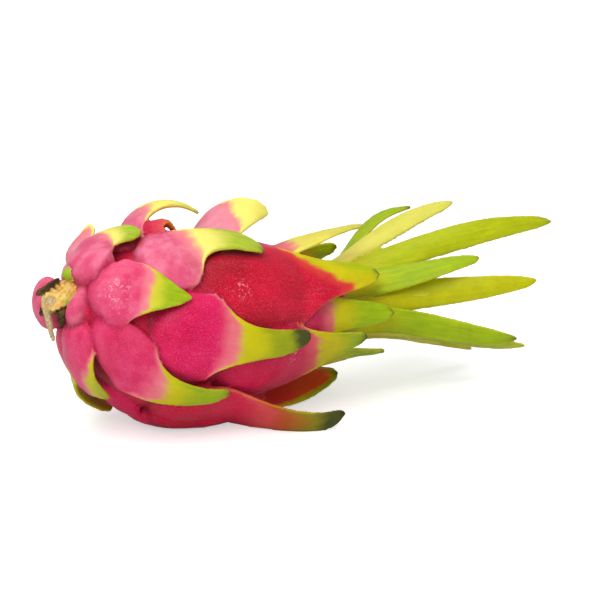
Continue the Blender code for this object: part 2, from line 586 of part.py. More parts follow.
def build_fruit():
    bodies = [body_core(), ellipsoid(BELLY_C, BELLY_R, 48)] + collar()
    for s in SCALES + crown_scales():
        top, bottom, _, _ = scale_sheet(s)
        bodies.append(closed_sheet(top, bottom))
    ob = fuse("fruit", bodies, VOXEL, FACES)
    cut_flat(ob, (0, 0, FLOOR * MM), (0, 0, -1))
    pocket = fuse("pocket", stub_parts(STUB_GAP), STUB_VOXEL, STUB_FACES // 2, 1)
    pocket.display_type = "WIRE"
    pocket.hide_render = True
    m = ob.modifiers.new("pocket", "BOOLEAN")
    m.operation, m.solver, m.object = "DIFFERENCE", "EXACT", pocket
    apply_modifiers(ob)
    bpy.data.objects.remove(pocket, do_unlink=True)
    bm = bmesh.new()
    bm.from_mesh(ob.data)
    largest_shell(bm)
    bmesh.ops.dissolve_degenerate(bm, dist=3e-5, edges=bm.edges)
    bmesh.ops.triangulate(bm, faces=[f for f in bm.faces if len(f.verts) > 3])
    relax_crossings(bm)
    bm.to_mesh(ob.data)
    bm.free()
    return ob


def build_stub():
    return fuse("stem_stub", stub_parts(), STUB_VOXEL, STUB_FACES, 1)


def build_flower():
    return fuse("dried_flower", flower_parts(), STUB_VOXEL, FLOWER_FACES, 1)


def material(name, colour, rough):
    mat = bpy.data.materials.new(name)
    mat.use_nodes = True
    b = mat.node_tree.nodes["Principled BSDF"]
    b.inputs["Base Color"].default_value = (*colour, 1)
    b.inputs["Roughness"].default_value = rough
    b.inputs["Metallic"].default_value = 0.0
    mat.diffuse_color = (*colour, 1)
    return mat


def main():
    for ob, colour, rough in ((build_fruit(), (0.68, 0.035, 0.14), 0.42), (build_stub(), (0.42, 0.25, 0.09), 0.8),
                              (build_flower(), (0.13, 0.07, 0.03), 0.85)):
        me = ob.data
        bm = bmesh.new()
        bm.from_mesh(me)
        bmesh.ops.translate(bm, verts=bm.verts, vec=(0, 0, -FLOOR * MM))
        bmesh.ops.recalc_face_normals(bm, faces=bm.faces)
        bm.to_mesh(me)
        bm.free()
        me.name = ob.name
        me.materials.clear()
        me.materials.append(material(ob.name + "_mat", colour, rough))
        for p in me.polygons:
            p.use_smooth = True


for old in list(bpy.data.objects):
    bpy.data.objects.remove(old, do_unlink=True)

if __name__ == "__main__":
    main()
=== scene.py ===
import math

import bmesh
import bpy
import numpy as np
from mathutils import Matrix, Vector
from mathutils.bvhtree import BVHTree
from mathutils.kdtree import KDTree


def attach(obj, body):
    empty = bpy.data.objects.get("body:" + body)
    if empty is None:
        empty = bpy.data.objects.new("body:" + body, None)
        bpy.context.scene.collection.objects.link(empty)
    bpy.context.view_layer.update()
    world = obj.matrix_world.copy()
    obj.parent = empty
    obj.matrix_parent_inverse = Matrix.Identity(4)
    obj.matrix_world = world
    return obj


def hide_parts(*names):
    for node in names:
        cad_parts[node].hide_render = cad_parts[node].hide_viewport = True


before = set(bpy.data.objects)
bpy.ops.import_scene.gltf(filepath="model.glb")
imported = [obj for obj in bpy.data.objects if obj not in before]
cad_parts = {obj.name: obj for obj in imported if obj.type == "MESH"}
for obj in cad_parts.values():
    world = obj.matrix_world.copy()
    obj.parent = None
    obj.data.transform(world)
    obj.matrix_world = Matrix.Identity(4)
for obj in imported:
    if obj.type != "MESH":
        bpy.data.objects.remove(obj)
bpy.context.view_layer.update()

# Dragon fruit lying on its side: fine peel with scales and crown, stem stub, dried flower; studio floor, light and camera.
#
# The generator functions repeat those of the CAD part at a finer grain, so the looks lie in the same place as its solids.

FINE_VOXEL = 0.55       # grain of the fused skin, mm
FINE_FACES = 188000
WORLD_LIGHT = 0.24
FLOOR_GLOW = 0.55
KEY, TOP, FILL = 11.0, 6.0, 0.8
CAM_AZ, CAM_EL, CAM_DIST, MM_PX, CAM_CX, CAM_CY = -27.0, 15.0, 760.0, 0.440, 185.0, 326.0

# ------------------------------------------------------------------ driving dimensions, mm
MM = 0.001
STEM_HALF = 53.0        # widest section to the stem pole
BODY_R = 38.5           # peel radius at the widest section, under the scales
BLUNT = 0.78            # how blunt the stem end is (1 = ellipse, less = fuller shoulder)
NECK_U = 86.0           # widest section to the crown's rim
NECK_R = 14.0           # radius of the neck under the crown
TAPER = 1.6             # how soon the body narrows towards the neck
STEM_LIFT = 15.0        # the stem end bends up by this much
CUP_DEPTH = 27.0        # hollow inside the crown
CUP_R = 9.6             # its radius at the rim
FLOOR = -43.0           # height of the resting surface below the body's axis
MARGIN = 1.3            # how far a cushion's edge stands above the peel
EVEN = 3.2              # length over which a scale's rows turn evenly
BELLY_C = (4.0, -1.0, -34.5)   # swell of the belly, pressed flat where the fruit lies
BELLY_R = (33.0, 23.0, 10.2)
COLLAR_R = 4.3          # thickness of the swollen collar round the stem
LOBE_R = (6.9, 9.0, 11.8)   # half sizes of the lobe beyond it
BUD_C = (-51.4, -2.6, 30.2)      # small green bud at the top of the collar
BUD_R = (5.2, 3.2, 3.2)
STRIPS = 11             # papery strips of the dried flower

NB, NF, NT = 14, 30, 21     # rows on a scale's cushion, rows on its flap, columns across


# ------------------------------------------------------------------ the peel's surface
def smooth(x):
    x = np.clip(x, 0.0, 1.0)
    return x * x * (3 - 2 * x)


def profile():
    al = np.linspace(0, math.pi / 2, 220)
    u1 = -STEM_HALF * np.cos(al)
    r1 = BODY_R * np.sin(al) ** BLUNT
    u2 = np.linspace(0, NECK_U, 320)[1:]
    g = np.clip(1 - (u2 / 84.0) ** 2, 0, 1) ** TAPER
    r2 = NECK_R - 1.6 * (u2 / NECK_U) ** 2 + (BODY_R - NECK_R) * g
    u = np.concatenate([u1, u2])
    r = np.concatenate([r1, r2])
    v = np.concatenate([[0], np.cumsum(np.hypot(np.diff(u), np.diff(r)))])
    du, dr = np.gradient(u, v), np.gradient(r, v)
    n = np.hypot(du, dr)
    return v, u, r, -dr / n, du / n


V, U, R, NU, NR = profile()
V_MAX = V[-1]


def axis_z(u):
    return STEM_LIFT * np.clip(-u / STEM_HALF, 0, 2) ** 2.3


def surf(v, phi, h=0.0):
    """Point h outside the peel at arc v from the stem pole, azimuth phi (0 = -Y, 90 degrees = up)."""
    v, phi, h = np.broadcast_arrays(np.asarray(v, float), np.asarray(phi, float), np.asarray(h, float))
    u, r = np.interp(v, V, U), np.interp(v, V, R)
    nu, nr = np.interp(v, V, NU), np.interp(v, V, NR)
    e = np.stack([np.zeros_like(phi), -np.cos(phi), np.sin(phi)], -1)
    p = e * (r + h * nr)[..., None]
    p[..., 0] += u + h * nu + np.maximum(v - V_MAX, 0)
    p[..., 2] += axis_z(u)
    return p


def normal(v, phi):
    nu, nr = np.interp(v, V, NU), np.interp(v, V, NR)
    return np.stack([nu + 0 * phi, -np.cos(phi) * nr, np.sin(phi) * nr], -1)


def unit(a):
    return a / np.maximum(np.linalg.norm(a, axis=-1, keepdims=True), 1e-9)


def knots(y, ys, vs):
    """Smooth monotone interpolation through a few knots."""
    ys, vs = np.asarray(ys, float), np.asarray(vs, float)
    d = np.diff(vs) / np.diff(ys)
    m = np.zeros_like(vs)
    s = np.where(d[:-1] + d[1:] == 0, 1, d[:-1] + d[1:])
    m[1:-1] = np.where(d[:-1] * d[1:] > 0, 2 * d[:-1] * d[1:] / s, 0)
    m[0], m[-1] = d[0], d[-1]
    i = np.clip(np.searchsorted(ys, y, side="right") - 1, 0, len(ys) - 2)
    w = ys[i + 1] - ys[i]
    t = np.clip((y - ys[i]) / w, 0, 1)
    return ((2 * t**3 - 3 * t**2 + 1) * vs[i] + (t**3 - 2 * t**2 + t) * w * m[i]
            + (-2 * t**3 + 3 * t**2) * vs[i + 1] + (t**3 - t**2) * w * m[i + 1])


def frames(path, n0):
    """Tangent, normal and side vectors along a path, twisting as little as they can."""
    t = unit(np.gradient(path, axis=0))
    n = np.empty_like(t)
    n[0] = unit(n0 - (n0 @ t[0]) * t[0])
    for i in range(1, len(t)):
        v1 = path[i] - path[i - 1]
        c1 = v1 @ v1
        r = n[i - 1] - (2 / c1) * (v1 @ n[i - 1]) * v1
        tl = t[i - 1] - (2 / c1) * (v1 @ t[i - 1]) * v1
        v2 = t[i] - tl
        c2 = v2 @ v2
        n[i] = r - (2 / c2) * (v2 @ r) * v2 if c2 > 1e-12 else r
        n[i] = unit(n[i] - (n[i] @ t[i]) * t[i])
    return t, n, np.cross(n, t)


def bezier(p0, p1, p2, p3, y):
    y = y[:, None]
    return (1 - y) ** 3 * p0 + 3 * (1 - y) ** 2 * y * p1 + 3 * (1 - y) * y**2 * p2 + y**3 * p3


def flap_width(y, c, p, q):
    """Half width along a flap, 1 at its root, 0 at its point: a spreading root plus a tongue."""
    return (1 - c) * (1 - y) ** p + c * np.sqrt(np.clip(1 - y**q, 0, 1))


# ------------------------------------------------------------------ the scales
# base, lift = (arc mm, azimuth degrees) of the cushion's start and of the flap's root
# tip = (arc, azimuth, height above the peel), w = half width, h = cushion height
# end = (rise, sideways) of the flap at its point, rise/side0 = the same at its root
def scale(name, base, lift, w, h, tip, end=(5, 0), rise=8, shape=(.42, 2.6, 5), th=4.2, **k):
    return dict(name=name, base=base, lift=lift, w=w, h=h, tip=tip, end=end, rise=rise, shape=shape, th=th, **k)


SCALES = [
    # ring nearest the stem
    scale("s1", (11, 124), (27, 121.5), 12.0, 3.7, (45, 120, 15), end=(45, 0), rise=26, shape=(.45, 1.4, 2.4), twist=-42),
    scale("s2", (12, 63), (32.5, 87), 12.4, 7.2, (56, 90, 7.4), end=(-12, 0), rise=5, shape=(.78, 1.4, 2.2), edges=(6.4, 3.4), twist=-22, nose=.3,
          cup0=.03, cup=.02, trough=.2),
    scale("s3", (18.5, 36), (37, 39), 15, 5.4, (62.8, 31.5, 6.5), end=(-6, -4), rise=3, side0=-6, shape=(.18, 1.0, 1.8),
          edges=(3.4, -.8), start=.8, nose=.55, trough=1.5),
    scale("s6", (15, -5), (38, -21.5), 14.8, 5.2, (77, -26.2, 6.8), end=(-4, 4), rise=6, side0=5, shape=(.41, 3.8, 3.5), edges=(-1.2, 3.6)),
    scale("s4", (4, -40), (16, -59), 14.5, 8.0, (34, -65.5, 6.0), end=(-20, 12), rise=0, shape=(.70, 1.3, 2.2), edges=(3.0, 7.4), nose=.6, trough=0),
    scale("s5", (12, -140), (26, -124), 16.0, 8.0, (47, -109, 10), end=(-15, 15), rise=12, shape=(.65, 1.5, 2.2)),
    scale("s20", (14, 200), (36, 192), 18, 4.2, (62, 184, 11), end=(10, 0), rise=12, shape=(.45, 2, 3)),
    scale("s29", (11, 192), (22, 186), 13, 6.5, (36, 176, 13), end=(0, 0), rise=4, shape=(.5, 1.6, 3)),
    # second ring
    scale("s9", (28, 117.5), (51.3, 114.5), 18, 4.6, (86, 104, 11), end=(-35, 0), rise=40, side0=6, shape=(.11, 2.0, 4), k=(.5, .45), twist=-30),
    scale("s8", (45, 74), (65.8, 69.5), 22.6, 5.4, (102, 60, 7), end=(-8, -28), rise=5, side0=23, shape=(.375, 6.0, 3.0), edges=(3.4, 1.3),
          cup0=.024, cup=.008, wave=0),
    scale("s7", (41, 9), (69, 8), 19.4, 5.0, (113, 2, 11), end=(-3, 8), rise=6, side0=-14, shape=(.34, 4.6, 3.5), edges=(1.3, 2.4)),
    scale("s14", (46, -66), (78, -50), 20, 5.0, (121, -40, 31), end=(0, 8), rise=14, side0=-4, shape=(.38, 3.2, 3.2), k=(.4, .36), twist=32),
    scale("s18", (22, -100), (46, -101), 19, 5.6, (76, -104, 4.5), end=(0, 0), rise=0, shape=(.5, 2, 3)),
    scale("s21", (44, 158), (68, 154), 19, 4.0, (104, 150, 14), end=(10, 0), rise=14),
    scale("s22", (36, 232), (62, 226), 20, 4.0, (98, 220, 8), end=(0, 0), rise=6),
    # third ring
    scale("s11", (60, 100), (83.5, 97), 21.5, 4.0, (110.8, 90, 16.0), end=(-10, -4), rise=17, shape=(.42, 1.25, 1.7), k=(.42, .4), twist=-52),
    scale("s12", (55, 39), (117, 42), 21, 4.8, (160, 40, 18), end=(8, 0), rise=4, shape=(.36, 3, 3.5), start=.6, nose=.8),
    scale("s16", (68, -24), (113, -20), 18, 4.6, (150, -16, 14), end=(6, 0), rise=4, shape=(.36, 3, 3.5)),
    scale("s15", (70, -98), (96, -94), 18, 4.0, (150, -98, 20), end=(8, 10), rise=8, shape=(.6, 2.0, 3), twist=-32),
    scale("s23", (74, 188), (100, 184), 19, 4.0, (140, 180, 16), end=(5, 0), rise=8),
    scale("s24", (74, 262), (100, 240), 18, 3.6, (138, 236, 12), end=(5, 0), rise=6),
    scale("s10", (53, 107), (69.2, 100.0), 9.5, 10.0, (73.4, 98, 3.4), end=(-70, 0), rise=-30, shape=(.8, 1.6, 2.0), k=(.4, .4)),
    # neck
    scale("s13", (100, 92), (118, 90), 13, 3.0, (160, 84, 26), end=(12, 0), rise=22, shape=(.5, 2.2, 5), th=3.4),
    scale("s25", (104, 8), (126, 8), 12, 3.0, (168, 4, 16), end=(8, 0), rise=8, shape=(.5, 2.2, 5), th=3.4),
    scale("s26", (104, -56), (126, -54), 12, 3.0, (170, -50, 14), end=(8, 0), rise=8, shape=(.5, 2.2, 5), th=3.4),
    scale("s27", (102, 142), (124, 140), 13, 3.0, (166, 138, 20), end=(8, 0), rise=10, shape=(.5, 2.2, 5), th=3.4),
    scale("s28", (104, 214), (126, 212), 13, 3.0, (170, 210, 18), end=(8, 0), rise=10, shape=(.5, 2.2, 5), th=3.4),
]

# crown bracts: (name, azimuth, arc of the flap's root, half width, tip arc, tip azimuth, tip height, its own bends)
CROWN = [
    ("c1", 84, 150, 9.0, 265, 72, 20, dict(rise=27, end=(-2, 0), k=(.36, .4), twist=-52)),
    ("c2", 116, 148, 8.6, 225, 112, 30, dict(rise=40, end=(10, 0), k=(.4, .4), twist=-60)),
    ("c3", 146, 150, 7.6, 213, 136, 37, dict(rise=50, end=(0, 0), k=(.45, .4), twist=-60)),
    ("c4", 48, 147, 7.6, 212, 38, 25, {}), ("c5", 20, 151, 8.2, 236, 16, 30, {}), ("c6", -14, 148, 7.8, 222, -16, 36, {}),
    ("c7", -46, 150, 8.0, 240, -42, 24, {}), ("c8", -80, 148, 7.6, 226, -84, 18, {}), ("c9", -112, 150, 8.0, 234, -116, 22, {}),
    ("c10", 214, 148, 7.8, 220, 216, 32, {}), ("c11", 180, 151, 8.2, 240, 178, 30, {}),
]
PETALS = 9              # short inner bracts that stand around the cup


def crown_scales():
    out = []
    for i, (name, az, root, w, vt, at, ht, own) in enumerate(CROWN):
        bend = dict(end=(10 + 4 * (i % 3), 0), rise=10, shape=(.86, 1.4, 2.4), th=2.9, cup=.03, cup0=.06, wave=.35, trough=.2,
                    free=.5, deep=3.6, step=.2)
        bend.update(own)
        out.append(scale(name, (root - 16, az), (root, az), w, 2.2, (vt, at, ht), **bend))
    for i in range(PETALS):
        az = 98 + 360 / PETALS * i
        out.append(scale("p%d" % i, (150, az), (159, az), 4.6, 1.2, (192 + 7 * (i % 3), az + 6 * math.sin(2.3 * i), 9 + 3 * (i % 2)),
                         end=(4, 0), rise=6, shape=(.8, 1.4, 2.4), th=2.2, cup=.05, cup0=.09, wave=.3, trough=0, free=.5, deep=2.6, step=.2))
    return out


def scale_rows(s):
    """Centre line, frames and half widths of one scale, root to point."""
    v0, f0 = s["base"]
    v1, f1 = s["lift"]
    x = np.linspace(0, 1, NB)
    hb = s["h"]
    h = knots(x, [0, .3, .62, 1], [s.get("start", -2.0), .6 * hb, .92 * hb, hb])
    ph = np.radians(f0 + (f1 - f0) * x)
    base = surf(v0 + (v1 - v0) * x, ph, h)
    p0 = base[-1]
    t0 = unit(base[-1] - base[-3])
    n0 = normal(v1, math.radians(f1))
    vt, ft, ht = s["tip"]
    p3 = surf(vt, math.radians(ft), ht)
    d = np.linalg.norm(p3 - p0)
    up, side = (math.radians(a) for a in s["end"])
    vq = min(vt, V_MAX - 1)
    nt = normal(vq, math.radians(ft))
    at = unit(surf(vq + .5, math.radians(ft)) - surf(vq - .5, math.radians(ft)))
    bt = np.cross(nt, at)
    tt = unit(math.cos(up) * math.cos(side) * at + math.cos(up) * math.sin(side) * bt + math.sin(up) * nt)
    k0, k1 = s.get("k", (.36, .36))
    up0, sd0 = math.radians(s["rise"]), math.radians(s.get("side0", 0))
    t0 = unit(math.cos(sd0) * t0 + math.sin(sd0) * np.cross(n0, t0))
    t0 = unit(math.cos(up0) * t0 + math.sin(up0) * n0)
    y = np.linspace(0, 1, NF + 1)[1:]
    flap = bezier(p0, p0 + t0 * d * k0, p3 - tt * d * k1, p3, y)
    path = np.concatenate([base, flap])
    t, n, b = frames(path, normal(v0, math.radians(f0)))
    nb = normal(v0 + (v1 - v0) * x, ph)
    nb = unit(nb - (nb * t[:NB]).sum(-1, keepdims=True) * t[:NB])
    n = np.concatenate([nb[:-1], frames(path[NB - 1:], nb[-1])[1]])
    b = np.cross(n, t)
    along = np.concatenate([[0], np.cumsum(np.linalg.norm(np.diff(path[NB - 1:], axis=0), axis=1))])
    y = along / along[-1]
    # the rows turn evenly where the flap leaves the cushion in another direction
    arc = np.concatenate([[0], np.cumsum(np.linalg.norm(np.diff(path, axis=0), axis=1))])
    near = np.exp(-((arc[:, None] - arc[None, :]) / EVEN) ** 2)
    b = unit(near @ b)
    n = unit(n - (n * b).sum(-1, keepdims=True) * b)
    tw = np.concatenate([np.zeros(NB - 1), math.radians(s.get("twist", 0)) * y ** .8])[:, None]
    n, b = np.cos(tw) * n + np.sin(tw) * b, np.cos(tw) * b - np.sin(tw) * n
    w = s["w"] * np.concatenate([knots(x, [0, .35, .75, 1], [s.get("nose", .45), .84 * s.get("body", 1), s.get("body", 1), .97])[:-1], flap_width(y, *s["shape"]) * .97])
    return path, n, b, w, np.concatenate([x[:-1] - 1, y])


def scale_sheet(s):
    """Upper and lower grids of a scale, rows x columns x 3."""
    path, n, b, w, yy = scale_rows(s)
    tt = np.linspace(-1, 1, NT)
    tt = np.sign(tt) * (1 - (1 - np.abs(tt)) ** 1.35)
    v0, v1 = s["base"][0], s["lift"][0]
    k_skin = 1.0 / (np.interp(v0 + (v1 - v0) * (1 + np.minimum(yy, 0)), V, R) + s["h"])
    k = np.where(yy <= 0, k_skin, knots(np.clip(yy, 0, 1), [0, .35, 1],
                                        [k_skin[NB - 1], s.get("cup0", k_skin[NB - 1] * .55), s.get("cup", 0.0)]))
    at = np.abs(tt)[None, :]
    lat = tt[None, :] * w[:, None]
    kk = np.maximum(k[:, None], 1e-4)
    ang = np.clip(lat * kk, -1.9, 1.9)
    side, drop = np.sin(ang) / kk, (1 - np.cos(ang)) / kk
    # the cushion's flanks run down into the peel, the flap's margins stand free
    f = s.get("free", .30)
    free = smooth((yy + f) / (f + .05))[:, None]
    y0 = yy[:, None]
    low, high = s.get("edges", (s.get("step", MARGIN),) * 2)
    rim = np.where(tt[None, :] < 0, low, high)
    rim = s.get("step", MARGIN) + (rim - s.get("step", MARGIN)) * smooth((y0 + .95) / .5)
    flank = (1 - free) * (s["h"] - rim) * (.3 * at ** 2 + .7 * at ** 8) + free * .6 * at ** 2
    trough = s.get("trough", .9) * np.exp(-((y0 - .10) / .10) ** 2) * (1 - .5 * at ** 2)
    lip = .5 * smooth((y0 + .1) / .25) * at ** 3
    wav = s.get("wave", .5) * smooth((y0 + .05) / .2) * at ** 2.5 * np.sin(y0 * 7.0 + s["base"][1] + 1.4 * np.sign(tt[None, :]))
    top = (path[:, None, :] + side[..., None] * b[:, None, :]
           + (-drop - flank - trough + lip + wav)[..., None] * n[:, None, :])
    th = knots(np.clip(yy, 0, 1), [0, .25, .75, 1], [s["th"], s["th"] * .8, s["th"] * .55, 1.4])[:, None]
    th = np.maximum(th * (1 - .62 * at ** 2.2), 1.25)
    deep = s.get("deep", s["h"] + 5.0) * (1 - .35 * at ** 2)
    inside = smooth((-y0 - .02) / .16)
    th = np.where(y0 < 0, (1 - inside) * s["th"] * (1 - .5 * at ** 2.2) + inside * deep, th)
    return top, top - th[..., None] * n[:, None, :], yy, tt


def closed_sheet(top, bottom):
    """Vertices and faces of the closed body between two grids."""
    a, c, _ = top.shape
    verts = np.concatenate([top.reshape(-1, 3), bottom.reshape(-1, 3)])
    m = a * c
    faces = []
    for i in range(a - 1):
        for j in range(c - 1):
            p = i * c + j
            faces.append((p, p + c, p + c + 1, p + 1))
            faces.append((m + p, m + p + 1, m + p + c + 1, m + p + c))
    for i in range(a - 1):
        p, q = i * c, i * c + c - 1
        faces.append((p, m + p, m + p + c, p + c))
        faces.append((q, q + c, m + q + c, m + q))
    for j in range(c - 1):
        p, q = j, (a - 1) * c + j
        faces.append((p, p + 1, m + p + 1, m + p))
        faces.append((q, m + q, m + q + 1, q + 1))
    return verts, faces


def lathe(us, rs, count, shift=None):
    """Closed body of revolution about X through (u, r); the first and last radius are 0."""
    verts, faces = [], []
    us, rs = list(us), list(rs)
    verts.append((us[0], 0.0, 0.0))
    for u, r in zip(us[1:-1], rs[1:-1]):
        for j in range(count):
            a = 2 * math.pi * j / count
            verts.append((u, -r * math.cos(a), r * math.sin(a)))
    verts.append((us[-1], 0.0, 0.0))
    n = len(us) - 2
    for j in range(count):
        k = (j + 1) % count
        faces.append((0, 1 + j, 1 + k))
        for i in range(n - 1):
            faces.append((1 + i * count + j, 1 + (i + 1) * count + j, 1 + (i + 1) * count + k, 1 + i * count + k))
        faces.append((1 + (n - 1) * count + j, len(verts) - 1, 1 + (n - 1) * count + k))
    verts = np.array(verts)
    if shift is not None:
        verts[:, 2] += shift(verts[:, 0])
    return verts, faces


# ------------------------------------------------------------------ meshes and solids
def make_mesh(name, verts, faces, scale_by=MM):
    me = bpy.data.meshes.new(name)
    me.from_pydata([tuple(v) for v in np.asarray(verts) * scale_by], [], faces)
    me.validate(clean_customdata=False)
    bm = bmesh.new()
    bm.from_mesh(me)
    bmesh.ops.recalc_face_normals(bm, faces=bm.faces)
    bm.to_mesh(me)
    bm.free()
    return me


def add_object(name, me):
    ob = bpy.data.objects.new(name, me)
    bpy.context.scene.collection.objects.link(ob)
    return ob


def apply_modifiers(ob):
    dg = bpy.context.evaluated_depsgraph_get()
    dg.update()
    me = bpy.data.meshes.new_from_object(ob.evaluated_get(dg))
    old = ob.data
    ob.modifiers.clear()
    ob.data = me
    bpy.data.meshes.remove(old)


def largest_shell(bm):
    """Keep the shell with the largest volume."""
    seen, best, best_vol = set(), None, -1.0
    for f0 in bm.faces:
        if f0.index in seen:
            continue
        stack, shell = [f0], []
        seen.add(f0.index)
        while stack:
            f = stack.pop()
            shell.append(f)
            for e in f.edges:
                for g in e.link_faces:
                    if g.index not in seen:
                        seen.add(g.index)
                        stack.append(g)
        vol = 0.0
        for f in shell:
            c = [v.co for v in f.verts]
            for i in range(1, len(c) - 1):
                vol += c[0].dot(c[i].cross(c[i + 1])) / 6
        if abs(vol) > best_vol:
            best, best_vol = set(shell), abs(vol)
    drop = [f for f in bm.faces if f not in best]
    if drop:
        bmesh.ops.delete(bm, geom=drop, context="FACES")
        loose = [v for v in bm.verts if not v.link_faces]
        bmesh.ops.delete(bm, geom=loose, context="VERTS")


def cut_flat(ob, co, no, flat_tol=1e-6):
    """Cut away what lies beyond a plane and close the cut with a flat face."""
    bm = bmesh.new()
    bm.from_mesh(ob.data)
    co, no = Vector(co), Vector(no).normalized()
    near = [v for v in bm.verts if abs((v.co - co).dot(no)) < 0.00012]
    for v in near:
        v.co -= no * (v.co - co).dot(no)
    bmesh.ops.bisect_plane(bm, geom=bm.verts[:] + bm.edges[:] + bm.faces[:], dist=flat_tol,
                           plane_co=co, plane_no=no, clear_outer=True)
    edges = [e for e in bm.edges if e.is_boundary]
    bmesh.ops.holes_fill(bm, edges=edges, sides=0)
    bmesh.ops.triangulate(bm, faces=[f for f in bm.faces if len(f.verts) > 3])
    bmesh.ops.recalc_face_normals(bm, faces=bm.faces)
    bm.to_mesh(ob.data)
    bm.free()


def tube(points, radii, count=14):
    """Closed tube through points, rounded off to its two ends."""
    pts, rad = np.asarray(points, float), np.asarray(radii, float)
    t, n, b = frames(pts, np.array([.31, .17, .93]))
    verts = [tuple(pts[0] - t[0] * rad[0] * .6)]
    for p, r, nn, bb in zip(pts, rad, n, b):
        for j in range(count):
            a = 2 * math.pi * j / count
            verts.append(tuple(p + r * (math.cos(a) * nn + math.sin(a) * bb)))
    verts.append(tuple(pts[-1] + t[-1] * rad[-1] * .6))
    m, faces = len(pts), []
    for j in range(count):
        k = (j + 1) % count
        faces.append((0, 1 + k, 1 + j))
        for i in range(m - 1):
            faces.append((1 + i * count + j, 1 + i * count + k, 1 + (i + 1) * count + k, 1 + (i + 1) * count + j))
        faces.append((1 + (m - 1) * count + j, 1 + (m - 1) * count + k, len(verts) - 1))
    return np.array(verts), faces


def ellipsoid(centre, radii, count=28):
    a = np.linspace(0, math.pi, 16)
    v, f = lathe(-np.cos(a), np.sin(a) * (np.abs(np.sin(a)) > 1e-9), count)
    return v * np.asarray(radii) + np.asarray(centre), f


def body_core():
    """The peel without its outgrowths, with the crown's hollow."""
    keep = np.unique(np.concatenate([np.searchsorted(V, np.linspace(0, V_MAX, 74)[:-1]), [len(V) - 1]]))
    us, rs = list(U[keep]), list(R[keep])
    rs[0] = 0.0
    rim = rs[-1]
    for a in np.linspace(0, 1, 5)[1:]:
        us.append(NECK_U + 1.2 * math.sin(math.pi * a))
        rs.append(rim + (CUP_R - rim) * a)
    for a in np.linspace(0, 1, 12)[1:]:
        us.append(NECK_U - CUP_DEPTH * a)
        rs.append(CUP_R * math.sqrt(max(1 - a ** 2.6, 0)) if a < 1 else 0.0)
    return lathe(us, rs, 72, axis_z)


def collar():
    """Swollen ring of peel round the stub with a knob in front and a bud above, and the lobe that bulges past it on the far side."""
    deg = np.linspace(-130, 128, 48)
    a = np.radians(deg)
    knob = np.exp(-((deg + 8) / 26) ** 2)
    waist = np.exp(-((deg - 46) / 30) ** 2)
    ring = np.stack([-49.6 - 1.2 * np.cos(a * 1.3) - 3.6 * knob + 1.2 * waist, -11.6 * np.cos(a), 16.5 + 11.6 * np.sin(a)], -1)
    r = COLLAR_R * (1 + .06 * np.sin(5 * a) + .08 * knob - .30 * waist) * np.sqrt(np.clip(1 - np.linspace(-1, 1, 48) ** 8, .02, 1))
    return [tube(ring, r), ellipsoid((-56.8, 15.8, 13.5), LOBE_R), ellipsoid(BUD_C, BUD_R, 20)]


# ------------------------------------------------------------------ the stub of the stem
STUB_C = np.array([-56.7, -3.2, 21.6])      # middle of the cut face
STUB_LONG = unit(np.array([.88, 0.0, .47]))  # along the oval cut
STUB_OUT = unit(np.array([-.42, -.66, .50]) - np.array([-.42, -.66, .50]) @ STUB_LONG * STUB_LONG)


def stub_block(grow=0.0):
    """The sawn block: oval cut face, narrower root sunk in the peel."""
    cross = np.cross(STUB_OUT, STUB_LONG)
    rows = []
    for depth, a, b in ((1.9, 9.4, 4.6), (1.5, 10.2, 5.3), (-1.5, 10.2, 5.7), (-5.0, 8.4, 5.6), (-9.0, 7.0, 5.6), (-11.5, 5.4, 4.6)):
        end = 1 if depth > 1.5 else (-1 if depth < -11 else 0)
        rows.append([STUB_C + STUB_OUT * (depth + end * grow) + STUB_LONG * ((a + grow) * math.cos(q) * (1 + .05 * math.sin(3 * q + depth)))
                     + cross * ((b + grow) * math.sin(q)) for q in np.linspace(0, 2 * math.pi, 25)[:-1]])
    rows = np.array(rows)
    m, c, _ = rows.shape
    verts = np.concatenate([rows.reshape(-1, 3), [rows[0].mean(0)], [rows[-1].mean(0)]])
    faces = []
    for j in range(c):
        k = (j + 1) % c
        faces.append((m * c, k, j))
        faces.append((m * c + 1, (m - 1) * c + j, (m - 1) * c + k))
        for i in range(m - 1):
            faces.append((i * c + j, i * c + k, (i + 1) * c + k, (i + 1) * c + j))
    return verts, faces


def stub_parts(grow=0.0):
    """The sawn block with its splinters and the dried spur, all thicker by grow."""
    out = [stub_block(grow)]
    y = np.linspace(0, 1, 14)
    # dried spur: a strip of bark torn off along the far edge, hanging down on the viewer's side
    out.append(tube(bezier(np.array([-64.6, .8, 23.0]), np.array([-64.4, -3.5, 18.5]), np.array([-65.2, -8.0, 11.0]),
                           np.array([-63.4, -8.4, 3.8]), y), 1.15 * (1 - y ** 2) * smooth(y * 2.5) + .7 + grow))
    out.append(tube(bezier(np.array([-58.0, -7.0, 15.5]), np.array([-59.4, -8.6, 13.5]), np.array([-60.4, -9.4, 11.5]),
                           np.array([-60.0, -9.0, 9.0]), y), 1.7 * (1 - y) ** .8 + .6 + grow))
    # dark edge of bark along the top left, its end sticking out
    out.append(tube(bezier(np.array([-66.6, 1.0, 22.2]), np.array([-64.3, .2, 23.4]), np.array([-61.8, .0, 25.0]),
                           np.array([-57.4, .2, 27.4]), y), 1.2 * (1 - .3 * y) * np.clip(y * 6, .35, 1) + .45 + grow))
    for k in range(3):
        p0 = STUB_C - STUB_LONG * 7.0 - STUB_OUT * 2.6 + np.array([0, 2.0 * k + .4, -.6 * k])
        p1 = p0 + np.array([-3.6 + .8 * k, 1.5 + .7 * k, -1.2 - 1.5 * k])
        out.append(tube(bezier(p0, p0 + (p1 - p0) * .3 + np.array([0, 0, .5]), p0 + (p1 - p0) * .7, p1, y), 1.7 * (1 - y) ** .8 + .55 + grow))
    return out


